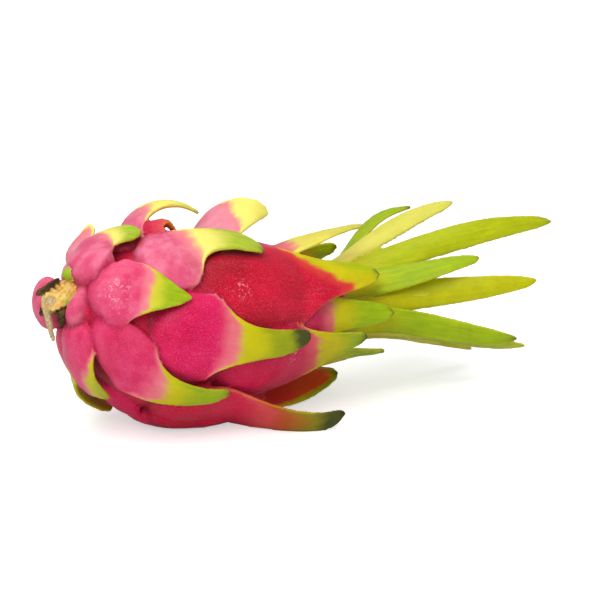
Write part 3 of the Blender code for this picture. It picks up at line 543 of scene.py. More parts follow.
# ------------------------------------------------------------------ the dried flower
def flower_parts():
    """Shrivelled flower: a plug at the bottom of the cup and the papery strips that stand on it."""
    u0 = NECK_U - CUP_DEPTH
    us = [u0 + 2.2, u0 + 2.8, u0 + 5.0, u0 + 7.5, u0 + 9.0, u0 + 9.6]
    rs = [0, 3.6, 5.6, 6.6, 4.5, 0]
    out = [lathe(us, rs, 26)]
    y = np.linspace(0, 1, 22)
    for k in range(STRIPS):
        a = 2 * math.pi * k / STRIPS + .35 * math.sin(5 * k)
        lean = .9 * math.sin(2.1 * k)
        length = 25 + 9 * math.sin(1.7 * k + .5)
        rad = (4.6 if k % 2 else 2.4) + (1.2 + .6 * math.sin(k)) * np.sin(y * math.pi * .8) + .5 * np.sin(9 * y + k)
        ang = a + lean * y ** 1.4
        path = np.stack([u0 + 5.5 + length * y, -rad * np.cos(ang), rad * np.sin(ang)], -1)
        t, n, b = frames(path, np.array([0.0, -math.cos(a), math.sin(a)]))
        tw = .8 * math.sin(1.3 * k) * y
        nn = np.cos(tw)[:, None] * n + np.sin(tw)[:, None] * b
        bb = np.cross(nn, t)
        w = (1.9 + .5 * math.sin(3 * k)) * flap_width(y, .85, 1.0, 4) + .35
        q = np.linspace(-1, 1, 9)
        top = path[:, None, :] + (q[None, :] * w[:, None])[..., None] * bb[:, None, :] - (.10 * (q[None, :] * w[:, None]) ** 2)[..., None] * nn[:, None, :]
        out.append(closed_sheet(top + .55 * nn[:, None, :], top - .55 * nn[:, None, :]))
    return out


NB, NF, NT = 26, 56, 35     # finer grids than the CAD's


# ------------------------------------------------------------------ fine meshes
def node_faces(verts, faces):
    """Loose arrays of a body: vertices and a face list."""
    return np.asarray(verts, float), list(faces)


def fuse_fine(name, bodies, voxel, faces, steps):
    """One fine closed skin round overlapping closed bodies."""
    verts, polys, off = [], [], 0
    for v, f in bodies:
        verts.append(v)
        polys += [tuple(i + off for i in p) for p in f]
        off += len(v)
    ob = add_object(name, make_mesh(name, np.concatenate(verts), polys))
    m = ob.modifiers.new("fuse", "REMESH")
    m.mode = "VOXEL"
    m.voxel_size = voxel * MM
    m.use_smooth_shade = True
    apply_modifiers(ob)
    bm = bmesh.new()
    bm.from_mesh(ob.data)
    for _ in range(steps):
        bmesh.ops.smooth_vert(bm, verts=bm.verts, factor=.5, use_axis_x=True, use_axis_y=True, use_axis_z=True)
    bmesh.ops.triangulate(bm, faces=bm.faces)
    count = len(bm.faces)
    bm.to_mesh(ob.data)
    bm.free()
    if count > faces:
        m = ob.modifiers.new("thin", "DECIMATE")
        m.ratio = faces / count
        m.use_collapse_triangulate = True
        apply_modifiers(ob)
    bm = bmesh.new()
    bm.from_mesh(ob.data)
    largest_shell(bm)
    bm.to_mesh(ob.data)
    bm.free()
    return ob


def coords(me):
    co = np.empty(len(me.vertices) * 3, np.float32)
    me.vertices.foreach_get("co", co)
    return co.reshape(-1, 3).astype(float)


def set_coords(me, co):
    me.vertices.foreach_set("co", np.asarray(co, np.float32).ravel())
    me.update()


def edge_pairs(me):
    e = np.empty(len(me.edges) * 2, np.int32)
    me.edges.foreach_get("vertices", e)
    return e.reshape(-1, 2)


def normals_of(me):
    n = np.empty(len(me.vertices) * 3, np.float32)
    me.vertices.foreach_get("normal", n)
    return n.reshape(-1, 3).astype(float)


def add_float(me, name, values):
    at = me.attributes.new(name, "FLOAT", "POINT")
    at.data.foreach_set("value", np.asarray(values, np.float32))


def add_vector(me, name, values):
    at = me.attributes.new(name, "FLOAT_VECTOR", "POINT")
    at.data.foreach_set("vector", np.asarray(values, np.float32).ravel())


def samples():
    """Points over every scale, with what the material needs to know about each of them."""
    pts, val, ids = [], [], []
    everything = SCALES + crown_scales()
    for k, s in enumerate(everything):
        top, bottom, yy, tt = scale_sheet(s)
        path, n, b, w, _ = scale_rows(s)
        seg = np.concatenate([[0], np.cumsum(np.linalg.norm(np.diff(path, axis=0), axis=1))])
        seg -= seg[NB - 1]
        look = dict(LOOK["crown"] if s["name"][0] == "c" else LOOK["petal"] if s["name"][0] == "p" else LOOK["body"])
        look.update(LOOKS.get(s["name"], {}))
        for side, grid in ((0.0, top), (1.0, bottom)):
            rows = np.repeat(np.arange(len(yy)), len(tt))
            cols = np.tile(np.arange(len(tt)), len(yy))
            y = yy[rows]
            t = tt[cols]
            edge = (1 - np.abs(t)) * w[rows]
            lean = look.get("lean", 0.0) * t
            # the flap's green starts at "green" and is full at "full", sooner along the margins
            val.append(np.stack([y, t * w[rows], seg[rows], edge, np.full(len(y), side),
                                 look["green"] - lean, look["full"] - lean, np.full(len(y), look["tone"]),
                                 np.full(len(y), look["dark"]), np.full(len(y), look["pale_and_highlight"]), np.full(len(y), look["red"]),
                                 np.full(len(y), (k * 0.618) % 1.0)], -1))
            pts.append(grid.reshape(-1, 3))
            ids.append(np.full(len(y), k))
    # bare peel: between the scales, the collar and the cup
    vv, pp = np.meshgrid(np.linspace(0, V_MAX, 120), np.linspace(0, 2 * math.pi, 130), indexing="ij")
    bare = [surf(vv.ravel(), pp.ravel(), -.3)]
    sunk = len(bare[0])
    for v, _ in collar():
        bare.append(v)
    bud = len(bare[-1])
    bare = np.concatenate(bare)
    pts.append(bare)
    row = np.zeros((len(bare), 12))
    row[:, 0] = -.7
    row[-bud:, 0] = .8
    row[:, 3] = 6.0
    row[:, 5:11] = [LOOK["body"][q] for q in ("green", "full", "tone", "dark", "pale_and_highlight", "red")]
    row[:, 11] = .37
    row[:, 10] = .15
    row[:, 9] = .85
    row[:sunk, 10] = .85
    row[:sunk, 9] = .30
    row[:, 2] = -20
    val.append(row)
    ids.append(np.full(len(bare), -1))
    return np.concatenate(pts), np.concatenate(val), np.concatenate(ids)


def transfer(me, lift):
    """Carry the samples' values to the fused skin."""
    pts, val, ids = samples()
    tree = KDTree(len(pts))
    for i, p in enumerate(pts):
        tree.insert(p, i)
    tree.balance()
    co = coords(me) / MM - np.array([0, 0, lift])
    out = np.empty((len(co), val.shape[1]))
    own = np.empty(len(co), int)
    for i, p in enumerate(co):
        near = tree.find_n(p, 4)
        k = ids[near[0][1]]
        own[i] = k
        ws, acc = 0.0, 0.0
        for _, j, d in near:
            if ids[j] == k:
                q = 1.0 / (d + .15)
                ws += q
                acc = acc + val[j] * q
        out[i] = acc / ws
    e = edge_pairs(me)
    for _ in range(3):
        same = own[e[:, 0]] == own[e[:, 1]]
        a, b = e[same, 0], e[same, 1]
        tot, cnt = out.copy(), np.ones(len(out))
        np.add.at(tot, a, out[b])
        np.add.at(tot, b, out[a])
        np.add.at(cnt, a, 1)
        np.add.at(cnt, b, 1)
        new = tot / cnt[:, None]
        new[:, 4] = out[:, 4]
        out = new
    return out, own


def spread(me, values, rounds):
    """Average values over neighbouring vertices."""
    e = edge_pairs(me)
    for _ in range(rounds):
        tot, cnt = values.copy(), np.ones(len(values))
        np.add.at(tot, e[:, 0], values[e[:, 1]])
        np.add.at(tot, e[:, 1], values[e[:, 0]])
        np.add.at(cnt, e.ravel(), 1)
        values = tot / cnt
    return values


def seams(me, own, reach=4.0):
    """Distance in mm to the nearest line where two scales meet, up to a reach."""
    e = edge_pairs(me)
    co = coords(me) / MM
    ln = np.linalg.norm(co[e[:, 0]] - co[e[:, 1]], axis=1)
    d = np.full(len(co), reach)
    cross = own[e[:, 0]] != own[e[:, 1]]
    d[e[cross].ravel()] = .3
    for _ in range(14):
        np.minimum.at(d, e[:, 0], d[e[:, 1]] + ln)
        np.minimum.at(d, e[:, 1], d[e[:, 0]] + ln)
    return d


def cavities(ob, rays, reach):
    """How much of the near surroundings of each vertex is closed off by other peel, 0..1."""
    me = ob.data
    tree = BVHTree.FromObject(ob, bpy.context.evaluated_depsgraph_get())
    co, nn = coords(me), normals_of(me)
    rng = np.random.RandomState(7)
    hit = np.zeros(len(co))
    for _ in range(rays):
        d = rng.normal(size=co.shape)
        d /= np.linalg.norm(d, axis=1)[:, None]
        d = d + nn
        d /= np.linalg.norm(d, axis=1)[:, None] + 1e-9
        start = co + nn * .0006
        cast = tree.ray_cast
        for i in range(len(co)):
            h = cast(Vector(start[i]), Vector(d[i]), reach)[3]
            if h is not None:
                hit[i] += 1 - .7 * h / reach
    return spread(me, hit / rays, 3)


def wave_noise(p, scale, seed, n=10):
    """Cheap smooth noise in about -1..1: a sum of sines along fixed directions."""
    rng = np.random.RandomState(seed)
    k = rng.normal(size=(n, 3))
    k /= np.linalg.norm(k, axis=1)[:, None]
    f = (0.7 + 0.9 * rng.rand(n)) / scale
    ph = rng.rand(n) * 2 * math.pi
    return np.sin((p @ k.T) * f * 2 * math.pi + ph).sum(1) / math.sqrt(n) / 1.2


# ------------------------------------------------------------------ colours of the scales
# colour values per scale; the high pale values of the scales on top also paint a highlight into their pink
LOOK = {
    "body": dict(green=.20, full=.58, tone=.50, dark=.35, pale_and_highlight=.45, red=.25),
    "crown": dict(green=-.05, full=.40, tone=.22, dark=.25, pale_and_highlight=.50, red=.15),
    "petal": dict(green=.10, full=.60, tone=.20, dark=.15, pale_and_highlight=.80, red=.15),
}
LOOKS = {
    "s1": dict(green=.90, full=2.2, tone=.10, dark=.0, pale_and_highlight=1.3, red=.0),
    "s2": dict(green=.34, full=.66, tone=.40, dark=.14, pale_and_highlight=1.0, red=.0),
    "s3": dict(green=.36, full=.66, tone=.70, dark=.20, pale_and_highlight=.68, red=.0),
    "s6": dict(green=.29, full=.68, tone=.62, dark=.30, pale_and_highlight=.56, red=.0),
    "s4": dict(green=.54, full=.84, lean=.40, tone=.30, dark=.10, pale_and_highlight=.58, red=.0),
    "s5": dict(green=-.12, full=.2, tone=.28, dark=.0, pale_and_highlight=.66, red=.30),
    "s9": dict(green=.42, full=.80, tone=.22, dark=.30, pale_and_highlight=1.08, red=.0),
    "s8": dict(green=.14, full=.52, tone=.36, dark=.35, pale_and_highlight=1.0, red=.0),
    "s7": dict(green=.20, full=.56, tone=.35, dark=.88, pale_and_highlight=.40, red=.10),
    "s11": dict(green=.48, full=.78, tone=.10, dark=.06, pale_and_highlight=1.3, red=.0),
    "s12": dict(green=.42, full=.85, lean=.35, tone=.30, dark=.35, pale_and_highlight=.30, red=1.0),
    "s14": dict(green=.37, full=.76, tone=.76, dark=.92, pale_and_highlight=.0, red=.78),
    "s15": dict(green=.20, full=.80, tone=.45, dark=.30, pale_and_highlight=.30, red=.90),
    "s16": dict(green=.25, full=.70, tone=.40, dark=.50, pale_and_highlight=.30, red=.50),
    "s18": dict(green=3.0, full=4.0, tone=.0, dark=.0, pale_and_highlight=.0, red=.0),
    "s10": dict(green=.15, full=1.3, tone=.05, dark=.0, pale_and_highlight=.10, red=.70),
    "s13": dict(green=.15, full=.65, tone=.15, dark=.10, pale_and_highlight=.80, red=.20),
    "c1": dict(green=-.25, full=.10, tone=.26, dark=.25, pale_and_highlight=.45, red=.2),
    "c2": dict(green=-.10, full=.3, tone=.15, dark=.1, pale_and_highlight=.85, red=.2),
    "c3": dict(green=.0, full=.3, tone=.5, dark=.3, pale_and_highlight=.5, red=.2),
    "c4": dict(green=-.10, full=.35, tone=.45, pale_and_highlight=.60),
    "c5": dict(green=-.15, full=.30, tone=.16, pale_and_highlight=.45, dark=.15),
    "c6": dict(green=.02, full=.38, tone=.60, pale_and_highlight=.40, dark=.30),
    "c7": dict(green=-.05, full=.42, tone=.30, pale_and_highlight=.75, dark=.12),
    "c9": dict(green=.05, full=.45, tone=.55, pale_and_highlight=.50, dark=.35),
    "c11": dict(green=.0, full=.45, tone=.35, pale_and_highlight=.80, dark=.20),
}
SCARS_AND_GLINTS = [((33.0, 36.0), 10.0), ((86.0, 34.0), 6.0), ((110.0, -14.0), 8.0)]   # (arc, azimuth), radius of the pale flecks: painted glints on the first cushion, healed scars at the other two

FLAP_SHADOWS = [((75.0, 50.0), 11.0), ((86.0, 52.0), 10.0), ((92.0, 60.0), 7.0), ((40.0, 74.0), 8.0), ((52.0, 86.0), 6.0)]   # painted shadow: patches of deeper crimson under the flaps


def build_fruit_fine():
    bodies = [body_core(), ellipsoid(BELLY_C, BELLY_R, 64)] + collar()
    for s in SCALES + crown_scales():
        top, bottom, _, _ = scale_sheet(s)
        bodies.append(closed_sheet(top, bottom))
    voxel = FINE_VOXEL
    ob = fuse_fine("dragon_fruit_skin", bodies, voxel, FINE_FACES, 2)
    cut_flat(ob, (0, 0, FLOOR * MM), (0, 0, -1))
    bm = bmesh.new()
    bm.from_mesh(ob.data)
    bmesh.ops.translate(bm, verts=bm.verts, vec=(0, 0, -FLOOR * MM))
    bmesh.ops.recalc_face_normals(bm, faces=bm.faces)
    bm.to_mesh(ob.data)
    bm.free()
    me = ob.data
    out, own = transfer(me, -FLOOR)
    co, nn = coords(me), normals_of(me)
    p = co / MM
    y, across, along, edge = out[:, 0], out[:, 1], out[:, 2], out[:, 3]
    # lengthwise veins and folds of the flaps, dimples of the cushions, slow unevenness everywhere
    flap = smooth((y + .1) / .25)
    fold = np.cos(across * 2.1 + 1.3 * np.sin(out[:, 11] * 31)) * np.exp(-(across / 9) ** 2)
    d = .10 * flap * fold + .22 * (1 - flap) * wave_noise(p, 17, 3) + .07 * wave_noise(p, 6.5, 5) + .030 * wave_noise(p, 2.6, 9, 14)
    d *= smooth(p[:, 2] / 1.5)
    set_coords(me, co + nn * (d * MM)[:, None])
    add_float(me, "along", y)
    add_vector(me, "leaf", np.stack([across * MM, along * MM, out[:, 11]], -1))
    add_float(me, "edge", edge)
    add_float(me, "inner", out[:, 4])
    for i, name in ((5, "green"), (6, "full"), (7, "tone"), (8, "dark"), (9, "pale_and_highlight"), (10, "red"), (11, "own")):
        add_float(me, name, out[:, i])
    # painted shadow along the lines where scales meet, and painted shade where other peel closes a spot off
    d = seams(me, own)
    under = smooth((edge - 1.0) / 1.6)
    add_float(me, "seam_shadow", spread(me, np.exp(-d / 1.5) * under + .45 * np.exp(-d / .7) * (1 - under), 1))
    add_float(me, "occlusion_shade", cavities(ob, 8, .016))
    # pale flecks: painted glints on one cushion, healed scars at two other spots
    scars_and_glints = np.zeros(len(p))
    q = p + np.array([0, 0, FLOOR])
    for (v, az), r in SCARS_AND_GLINTS:
        c = surf(v, math.radians(az), 4.0)
        scars_and_glints = np.maximum(scars_and_glints, np.exp(-(((q - c) ** 2).sum(1)) / (2 * (r * .62) ** 2)))
    add_float(me, "scars_and_glints", scars_and_glints)
    # painted shadow patches under the flaps
    deep = np.zeros(len(p))
    for (v, az), r in FLAP_SHADOWS:
        c = surf(v, math.radians(az), 3.0)
        deep = np.maximum(deep, np.exp(-(((q - c) ** 2).sum(1)) / (2 * (r * .62) ** 2)))
    add_float(me, "deep", deep)
    return ob


def build_stub_fine():
    ob = fuse_fine("stem_stub_wood", stub_parts(), .24, 60000, 2)
    me = ob.data
    co = coords(me)
    nn = normals_of(me)
    p = co / MM - STUB_C
    cross = np.cross(STUB_OUT, STUB_LONG)
    depth, lon, lat = p @ STUB_OUT, p @ STUB_LONG, p @ cross
    fibre = wave_noise(np.stack([lon * .22, lat * 1.2, depth * .22], -1), .9, 21, 16)
    d = .17 * fibre + .10 * wave_noise(p, 1.6, 22) + .05 * wave_noise(p, .7, 23, 14)
    pieces = stub_parts()
    tree = KDTree(sum(len(v) for v, _ in pieces))
    which = []
    for k, (v, _) in enumerate(pieces):
        for q in v:
            tree.insert(q, len(which))
            which.append(k)
    tree.balance()
    q0 = co / MM
    kind = np.array([which[tree.find(q)[1]] for q in q0])
    spur = spread(me, (kind == 1).astype(float), 3)
    bark = spread(me, (kind >= 2).astype(float), 3)
    cut = spread(me, (kind == 0).astype(float), 3) * smooth((depth + .3) / 1.2)
    # the cut face is torn: fibres stand up from it and shallow cracks run along it
    d += cut * .22 * np.abs(wave_noise(np.stack([lon * .3, lat, depth * 0], -1), 1.6, 24, 16))
    set_coords(me, co + nn * (d * MM)[:, None] + np.array([0, 0, -FLOOR * MM]))
    add_float(me, "cut", cut)
    add_float(me, "spur", spur)
    add_float(me, "bark", bark)
    add_vector(me, "grain", np.stack([lon, lat, depth], -1) * MM)
    add_float(me, "rim", smooth((-lat - 2.2) / 1.6) * smooth((lon + 4.0) / 3.0) * smooth((depth + 3.5) / 1.5) * (kind == 0))
    return ob


def build_flower_fine():
    ob = fuse_fine("dried_flower_strips", flower_parts(), .26, 90000, 1)
    me = ob.data
    co, nn = coords(me), normals_of(me)
    p = co / MM
    ang = np.arctan2(p[:, 2], -p[:, 1])
    d = .10 * wave_noise(np.stack([p[:, 0] * .15, p[:, 1], p[:, 2]], -1), .9, 31, 16) + .08 * wave_noise(p, 2.2, 32)
    set_coords(me, co + nn * (d * MM)[:, None] + np.array([0, 0, -FLOOR * MM]))
    add_float(me, "up", smooth((p[:, 0] - 62) / 34))
    add_float(me, "turn", ang)
    return ob


# ------------------------------------------------------------------ materials
class Graph:
    """Small helper around a material's node tree."""

    def __init__(self, name):
        self.mat = bpy.data.materials.new(name)
        self.mat.use_nodes = True
        self.t = self.mat.node_tree
        self.b = self.t.nodes["Principled BSDF"]

    def node(self, kind, **props):
        n = self.t.nodes.new(kind)
        for k, v in props.items():
            setattr(n, k, v)
        return n

    def link(self, a, b):
        self.t.links.new(a, b)

    def attr(self, name, out="Fac"):
        n = self.node("ShaderNodeAttribute", attribute_name=name)
        return n.outputs[out]

    def put(self, socket, v):
        if isinstance(v, (int, float)):
            socket.default_value = v
        elif isinstance(v, (tuple, list)):
            socket.default_value = tuple(v) + (1.0,) * (len(socket.default_value) - len(v))
        else:
            self.link(v, socket)

    def math(self, op, a, b=0.0, c=0.0, clamp=False):
        n = self.node("ShaderNodeMath", operation=op, use_clamp=clamp)
        for s, v in zip(n.inputs, (a, b, c)):
            self.put(s, v)
        return n.outputs[0]

    def band(self, v, lo, hi, to_lo=0.0, to_hi=1.0, kind="SMOOTHSTEP"):
        n = self.node("ShaderNodeMapRange", interpolation_type=kind)
        n.clamp = True
        for s, x in zip(n.inputs[:5], (v, lo, hi, to_lo, to_hi)):
            self.put(s, x)
        return n.outputs[0]

    def mix(self, f, a, b, mode="MIX"):
        n = self.node("ShaderNodeMix", data_type="RGBA", blend_type=mode)
        self.put(n.inputs[0], f)
        self.put(n.inputs[6], a)
        self.put(n.inputs[7], b)
        return n.outputs[2]

    def noise(self, scale, detail=2.0, rough=.5, vec=None, dist=0.0):
        n = self.node("ShaderNodeTexNoise")
        n.inputs["Scale"].default_value = scale
        n.inputs["Detail"].default_value = detail
        n.inputs["Roughness"].default_value = rough
        n.inputs["Distortion"].default_value = dist
        if vec is not None:
            self.link(vec, n.inputs["Vector"])
        return n.outputs["Fac"]

    def mapped(self, vec, scale=(1, 1, 1), loc=(0, 0, 0)):
        n = self.node("ShaderNodeMapping")
        n.inputs["Scale"].default_value = scale
        n.inputs["Location"].default_value = loc
        self.link(vec, n.inputs["Vector"])
        return n.outputs[0]

    def voronoi(self, scale, vec=None, feature="F1", out="Distance"):
        n = self.node("ShaderNodeTexVoronoi", feature=feature)
        n.inputs["Scale"].default_value = scale
        if vec is not None:
            self.link(vec, n.inputs["Vector"])
        return n.outputs[out]

    def bump(self, height, strength, distance, normal=None):
        n = self.node("ShaderNodeBump")
        n.inputs["Strength"].default_value = strength
        n.inputs["Distance"].default_value = distance
        self.link(height, n.inputs["Height"])
        if normal is not None:
            self.link(normal, n.inputs["Normal"])
        return n.outputs[0]


def rgb(r, g, b):
    """sRGB 0-255 to linear."""
    return tuple((c / 255 / 12.92) if c <= 10 else ((c / 255 + .055) / 1.055) ** 2.4 for c in (r, g, b))


def peel_material():
    g = Graph("peel")
    pos = g.node("ShaderNodeTexCoord").outputs["Object"]
    y, edge, inner = g.attr("along"), g.attr("edge"), g.attr("inner")
    green, full = g.attr("green"), g.attr("full")
    tone, dark, pale_and_highlight, red, own = g.attr("tone"), g.attr("dark"), g.attr("pale_and_highlight"), g.attr("red"), g.attr("own")
    leaf = g.attr("leaf", "Vector")
    slow = g.noise(38, 3, .55, pos)
    mid = g.noise(150, 3, .6, pos)
    streak = g.noise(1.0, 4, .65, g.mapped(leaf, (900, 60, 7)))
    fine = g.noise(1400, 2, .6, pos)
    # pinks of the peel; the paler pinks on scales with a high pale value are partly their own paler tone, partly a
    # painted highlight on the top scales that face the lamps
    pink = g.mix(g.band(slow, .34, .68), rgb(214, 2, 78), rgb(228, 14, 98))
    crimson = g.mix(g.band(slow, .36, .66), rgb(202, 1, 42), rgb(218, 6, 52))
    skin = g.mix(red, pink, crimson)
    pale_highlight_pink = g.mix(g.band(mid, .35, .7), rgb(226, 92, 130), rgb(234, 134, 158))
    skin = g.mix(g.math("MULTIPLY", g.band(pale_and_highlight, .35, 1.0), .80), skin, pale_highlight_pink)
    skin = g.mix(g.math("MULTIPLY", g.band(pale_and_highlight, 1.0, 1.35), .55), skin, rgb(240, 168, 176))
    # painted shade: darker crimson low on the cushion where it dives under its neighbour
    low = g.band(y, -1.0, -.55, 1.0, 0.0)
    skin = g.mix(g.math("MULTIPLY", low, .35), skin, rgb(178, 8, 62))
    # painted shade: deep crimson where scales meet and where other peel closes a spot off
    seam_shadow, occlusion_shade = g.attr("seam_shadow"), g.attr("occlusion_shade")
    skin = g.mix(g.math("MULTIPLY", g.band(occlusion_shade, .25, .85), .60), skin, rgb(160, 4, 46))
    skin = g.mix(g.math("MULTIPLY", g.band(seam_shadow, .18, .90), .70), skin, rgb(148, 2, 44))
    # painted shadow: deeper crimson patches under the flaps
    skin = g.mix(g.math("MULTIPLY", g.band(g.attr("deep"), .12, .90), .72), skin, rgb(158, 3, 22))
    # lighter streaks along the veins
    skin = g.mix(g.math("MULTIPLY", g.band(streak, .52, .78), g.band(y, -.2, .2, .07, .20)), skin, rgb(244, 140, 168))
    # fine pale pores
    pores = g.noise(2300, 2, .6, pos)
    skin = g.mix(g.math("MULTIPLY", g.band(pores, .50, .72), .22), skin, rgb(250, 156, 184))
    skin = g.mix(g.math("MULTIPLY", g.band(pores, .46, .28), .14), skin, rgb(176, 6, 60))
    # how far the green has come: along the flap, sooner at its margins, with uneven front
    near = g.band(edge, 0.0, 3.2, 1.0, 0.0, "SMOOTHSTEP")
    rim_on = g.band(y, -.30, .12)
    g0 = g.math("SUBTRACT", y, green)
    span = g.math("MAXIMUM", g.math("SUBTRACT", full, green), .05)
    ahead = g.math("MULTIPLY", g.math("MULTIPLY", near, rim_on), .42)
    wob = g.math("MULTIPLY", g.math("SUBTRACT", g.noise(1.0, 4, .65, g.mapped(leaf, (170, 30, 3))), .5), .42)
    front = g.math("ADD", g.math("ADD", g.math("DIVIDE", g0, span), ahead), wob)
    front = g.math("SUBTRACT", front, g.math("MULTIPLY", inner, .18))
    # pink -> pale peach -> yellow -> green -> olive point
    f_peach = g.band(front, -.55, .02)
    f_yellow = g.band(front, -.06, .30)
    f_green = g.math("MULTIPLY", g.band(tone, .05, .45, .15, 1.0), g.band(g.math("ADD", front, g.math("MULTIPLY", g.math("SUBTRACT", tone, .5), .9)), .35, 1.25))
    peach = g.mix(red, rgb(240, 134, 140), rgb(222, 66, 54))
    yellow = g.mix(g.band(pale_and_highlight, .0, .35), rgb(200, 84, 30), rgb(206, 198, 8))
    yellow = g.mix(g.band(pale_and_highlight, .6, .95), yellow, rgb(246, 232, 112))
    leafgreen = g.mix(g.band(streak, .3, .7), rgb(140, 176, 6), rgb(166, 192, 18))
    leafgreen = g.mix(g.band(dark, .8, 1.0), leafgreen, rgb(134, 118, 18))
    col = g.mix(g.math("MULTIPLY", f_peach, .85), skin, peach)
    col = g.mix(f_yellow, col, yellow)
    col = g.mix(g.math("MULTIPLY", f_green, .92), col, leafgreen)
    # thin warm line on the very margin
    line = g.math("MULTIPLY", g.band(edge, .0, .8, 1.0, 0.0), g.band(y, -.12, .1))
    col = g.mix(g.math("MULTIPLY", g.math("MULTIPLY", line, .35), g.band(green, 2.5, 1.5)), col, rgb(226, 196, 60))
    # inner faces near the root are red
    red_in = g.math("MULTIPLY", g.math("MULTIPLY", inner, g.band(y, .0, .25)), g.band(front, .7, .1))
    col = g.mix(g.math("MULTIPLY", red_in, .6), col, rgb(206, 30, 50))
    blush = g.math("MULTIPLY", g.math("MULTIPLY", inner, g.band(red, .8, .88)), g.math("MULTIPLY", g.band(edge, 1.4, 3.0), g.band(y, 1.0, .85)))
    col = g.mix(g.math("MULTIPLY", blush, .85), col, rgb(236, 52, 40))
    # dried dark point
    tipf = g.math("ADD", y, g.math("MULTIPLY", g.math("SUBTRACT", g.noise(1.0, 3, .6, g.mapped(leaf, (500, 90, 5))), .5), .16))
    t0 = g.math("SUBTRACT", 1.0, g.math("MULTIPLY", dark, .33))
    tip = g.band(tipf, t0, g.math("ADD", t0, .16))
    col = g.mix(g.math("MULTIPLY", tip, g.band(dark, .0, .35)), col, g.mix(g.band(tipf, .93, 1.0), rgb(78, 84, 30), rgb(44, 34, 20)))
    # whitish flecks and healed scratches; on one cushion the flecks are painted glints
    scars_and_glints = g.attr("scars_and_glints")
    glint_and_scar_fleck = g.math("MULTIPLY", g.band(g.noise(620, 3, .7, pos), .56, .66), g.band(scars_and_glints, .25, .9))
    scratch = g.math("MULTIPLY", g.band(g.noise(1.0, 4, .7, g.mapped(pos, (210, 90, 420))), .60, .67), g.band(scars_and_glints, .15, .8))
    col = g.mix(g.math("MULTIPLY", g.math("MAXIMUM", glint_and_scar_fleck, scratch), .55), col, rgb(250, 196, 206))
    # slight mottling over everything
    col = g.mix(.15, col, g.mix(g.band(mid, .2, .8, 0, 1, "LINEAR"), (0, 0, 0), (1, 1, 1)), "OVERLAY")
    g.link(col, g.b.inputs["Base Color"])
    rough = g.math("ADD", g.band(mid, .3, .7, .36, .50), g.math("MULTIPLY", tip, .25), clamp=True)
    g.link(rough, g.b.inputs["Roughness"])
    g.b.inputs["Subsurface Weight"].default_value = .16
    g.b.inputs["Subsurface Radius"].default_value = (.0060, .0018, .0012)
    g.b.inputs["Subsurface Scale"].default_value = 1.0
    g.b.inputs["Specular IOR Level"].default_value = .17
    g.b.inputs["Sheen Weight"].default_value = .03
    g.b.inputs["Sheen Roughness"].default_value = .55
    g.b.inputs["Sheen Tint"].default_value = (1.0, .82, .88, 1.0)
    bump1 = g.bump(g.voronoi(950, pos), .10, .00035)
    bump2 = g.bump(streak, .22, .00045, bump1)
    bump3 = g.bump(g.noise(420, 3, .6, pos), .22, .00045, bump2)
    bump4 = g.bump(glint_and_scar_fleck, .35, .0003, bump3)
    g.link(bump4, g.b.inputs["Normal"])
    return g.mat


def wood_material():
    g = Graph("dry_stem")
    pos = g.attr("grain", "Vector")
    cut, spur, edge, rim = g.attr("cut"), g.attr("spur"), g.attr("bark"), g.attr("rim")
    fibre = g.noise(1.0, 5, .65, g.mapped(pos, (220, 900, 500)))
    blotch = g.noise(330, 4, .65, pos)
    speck = g.noise(900, 3, .7, pos)
    col = g.mix(g.band(fibre, .32, .7), rgb(70, 48, 20), rgb(150, 116, 62))
    strip = g.mix(g.band(speck, .35, .65), rgb(176, 150, 104), rgb(214, 192, 150))
    col = g.mix(spur, col, strip)
    dark = g.mix(g.band(fibre, .40, .70), rgb(46, 32, 14), rgb(112, 84, 40))
    col = g.mix(edge, col, dark)
    face = g.mix(g.band(blotch, .40, .62), rgb(240, 206, 118), rgb(214, 158, 66))
    face = g.mix(g.math("MULTIPLY", g.band(speck, .52, .68), .45), face, rgb(250, 228, 166))
    face = g.mix(g.math("MULTIPLY", g.band(fibre, .58, .74), .45), face, rgb(150, 104, 44))
    col = g.mix(cut, col, face)
    col = g.mix(g.math("MULTIPLY", rim, .85), col, g.mix(g.band(blotch, .35, .65), rgb(130, 160, 30), rgb(186, 190, 80)))
    g.link(col, g.b.inputs["Base Color"])
    g.link(g.band(fibre, .3, .7, .62, .86), g.b.inputs["Roughness"])
    g.b.inputs["Specular IOR Level"].default_value = .25
    b1 = g.bump(fibre, .6, .0006)
    g.link(g.bump(blotch, .3, .0004, b1), g.b.inputs["Normal"])
    return g.mat


def flower_material():
    g = Graph("dry_flower")
    pos = g.node("ShaderNodeTexCoord").outputs["Object"]
    up = g.attr("up")
    strand = g.noise(1.0, 5, .65, g.mapped(pos, (60, 900, 900)))
    blotch = g.noise(210, 4, .6, pos)
    brown = g.mix(g.band(strand, .34, .68), rgb(34, 24, 14), rgb(134, 96, 52))
    tan = g.mix(g.band(strand, .34, .68), rgb(112, 82, 46), rgb(206, 172, 112))
    col = g.mix(g.math("MULTIPLY", g.band(blotch, .42, .62), g.band(up, .0, .5, .35, 1.0)), brown, tan)
    col = g.mix(g.band(up, .80, 1.0, 0.0, .55), col, rgb(52, 38, 22))
    g.link(col, g.b.inputs["Base Color"])
    g.link(g.band(strand, .3, .7, .6, .85), g.b.inputs["Roughness"])
    g.b.inputs["Specular IOR Level"].default_value = .3
    g.link(g.bump(strand, .5, .0005), g.b.inputs["Normal"])
    return g.mat


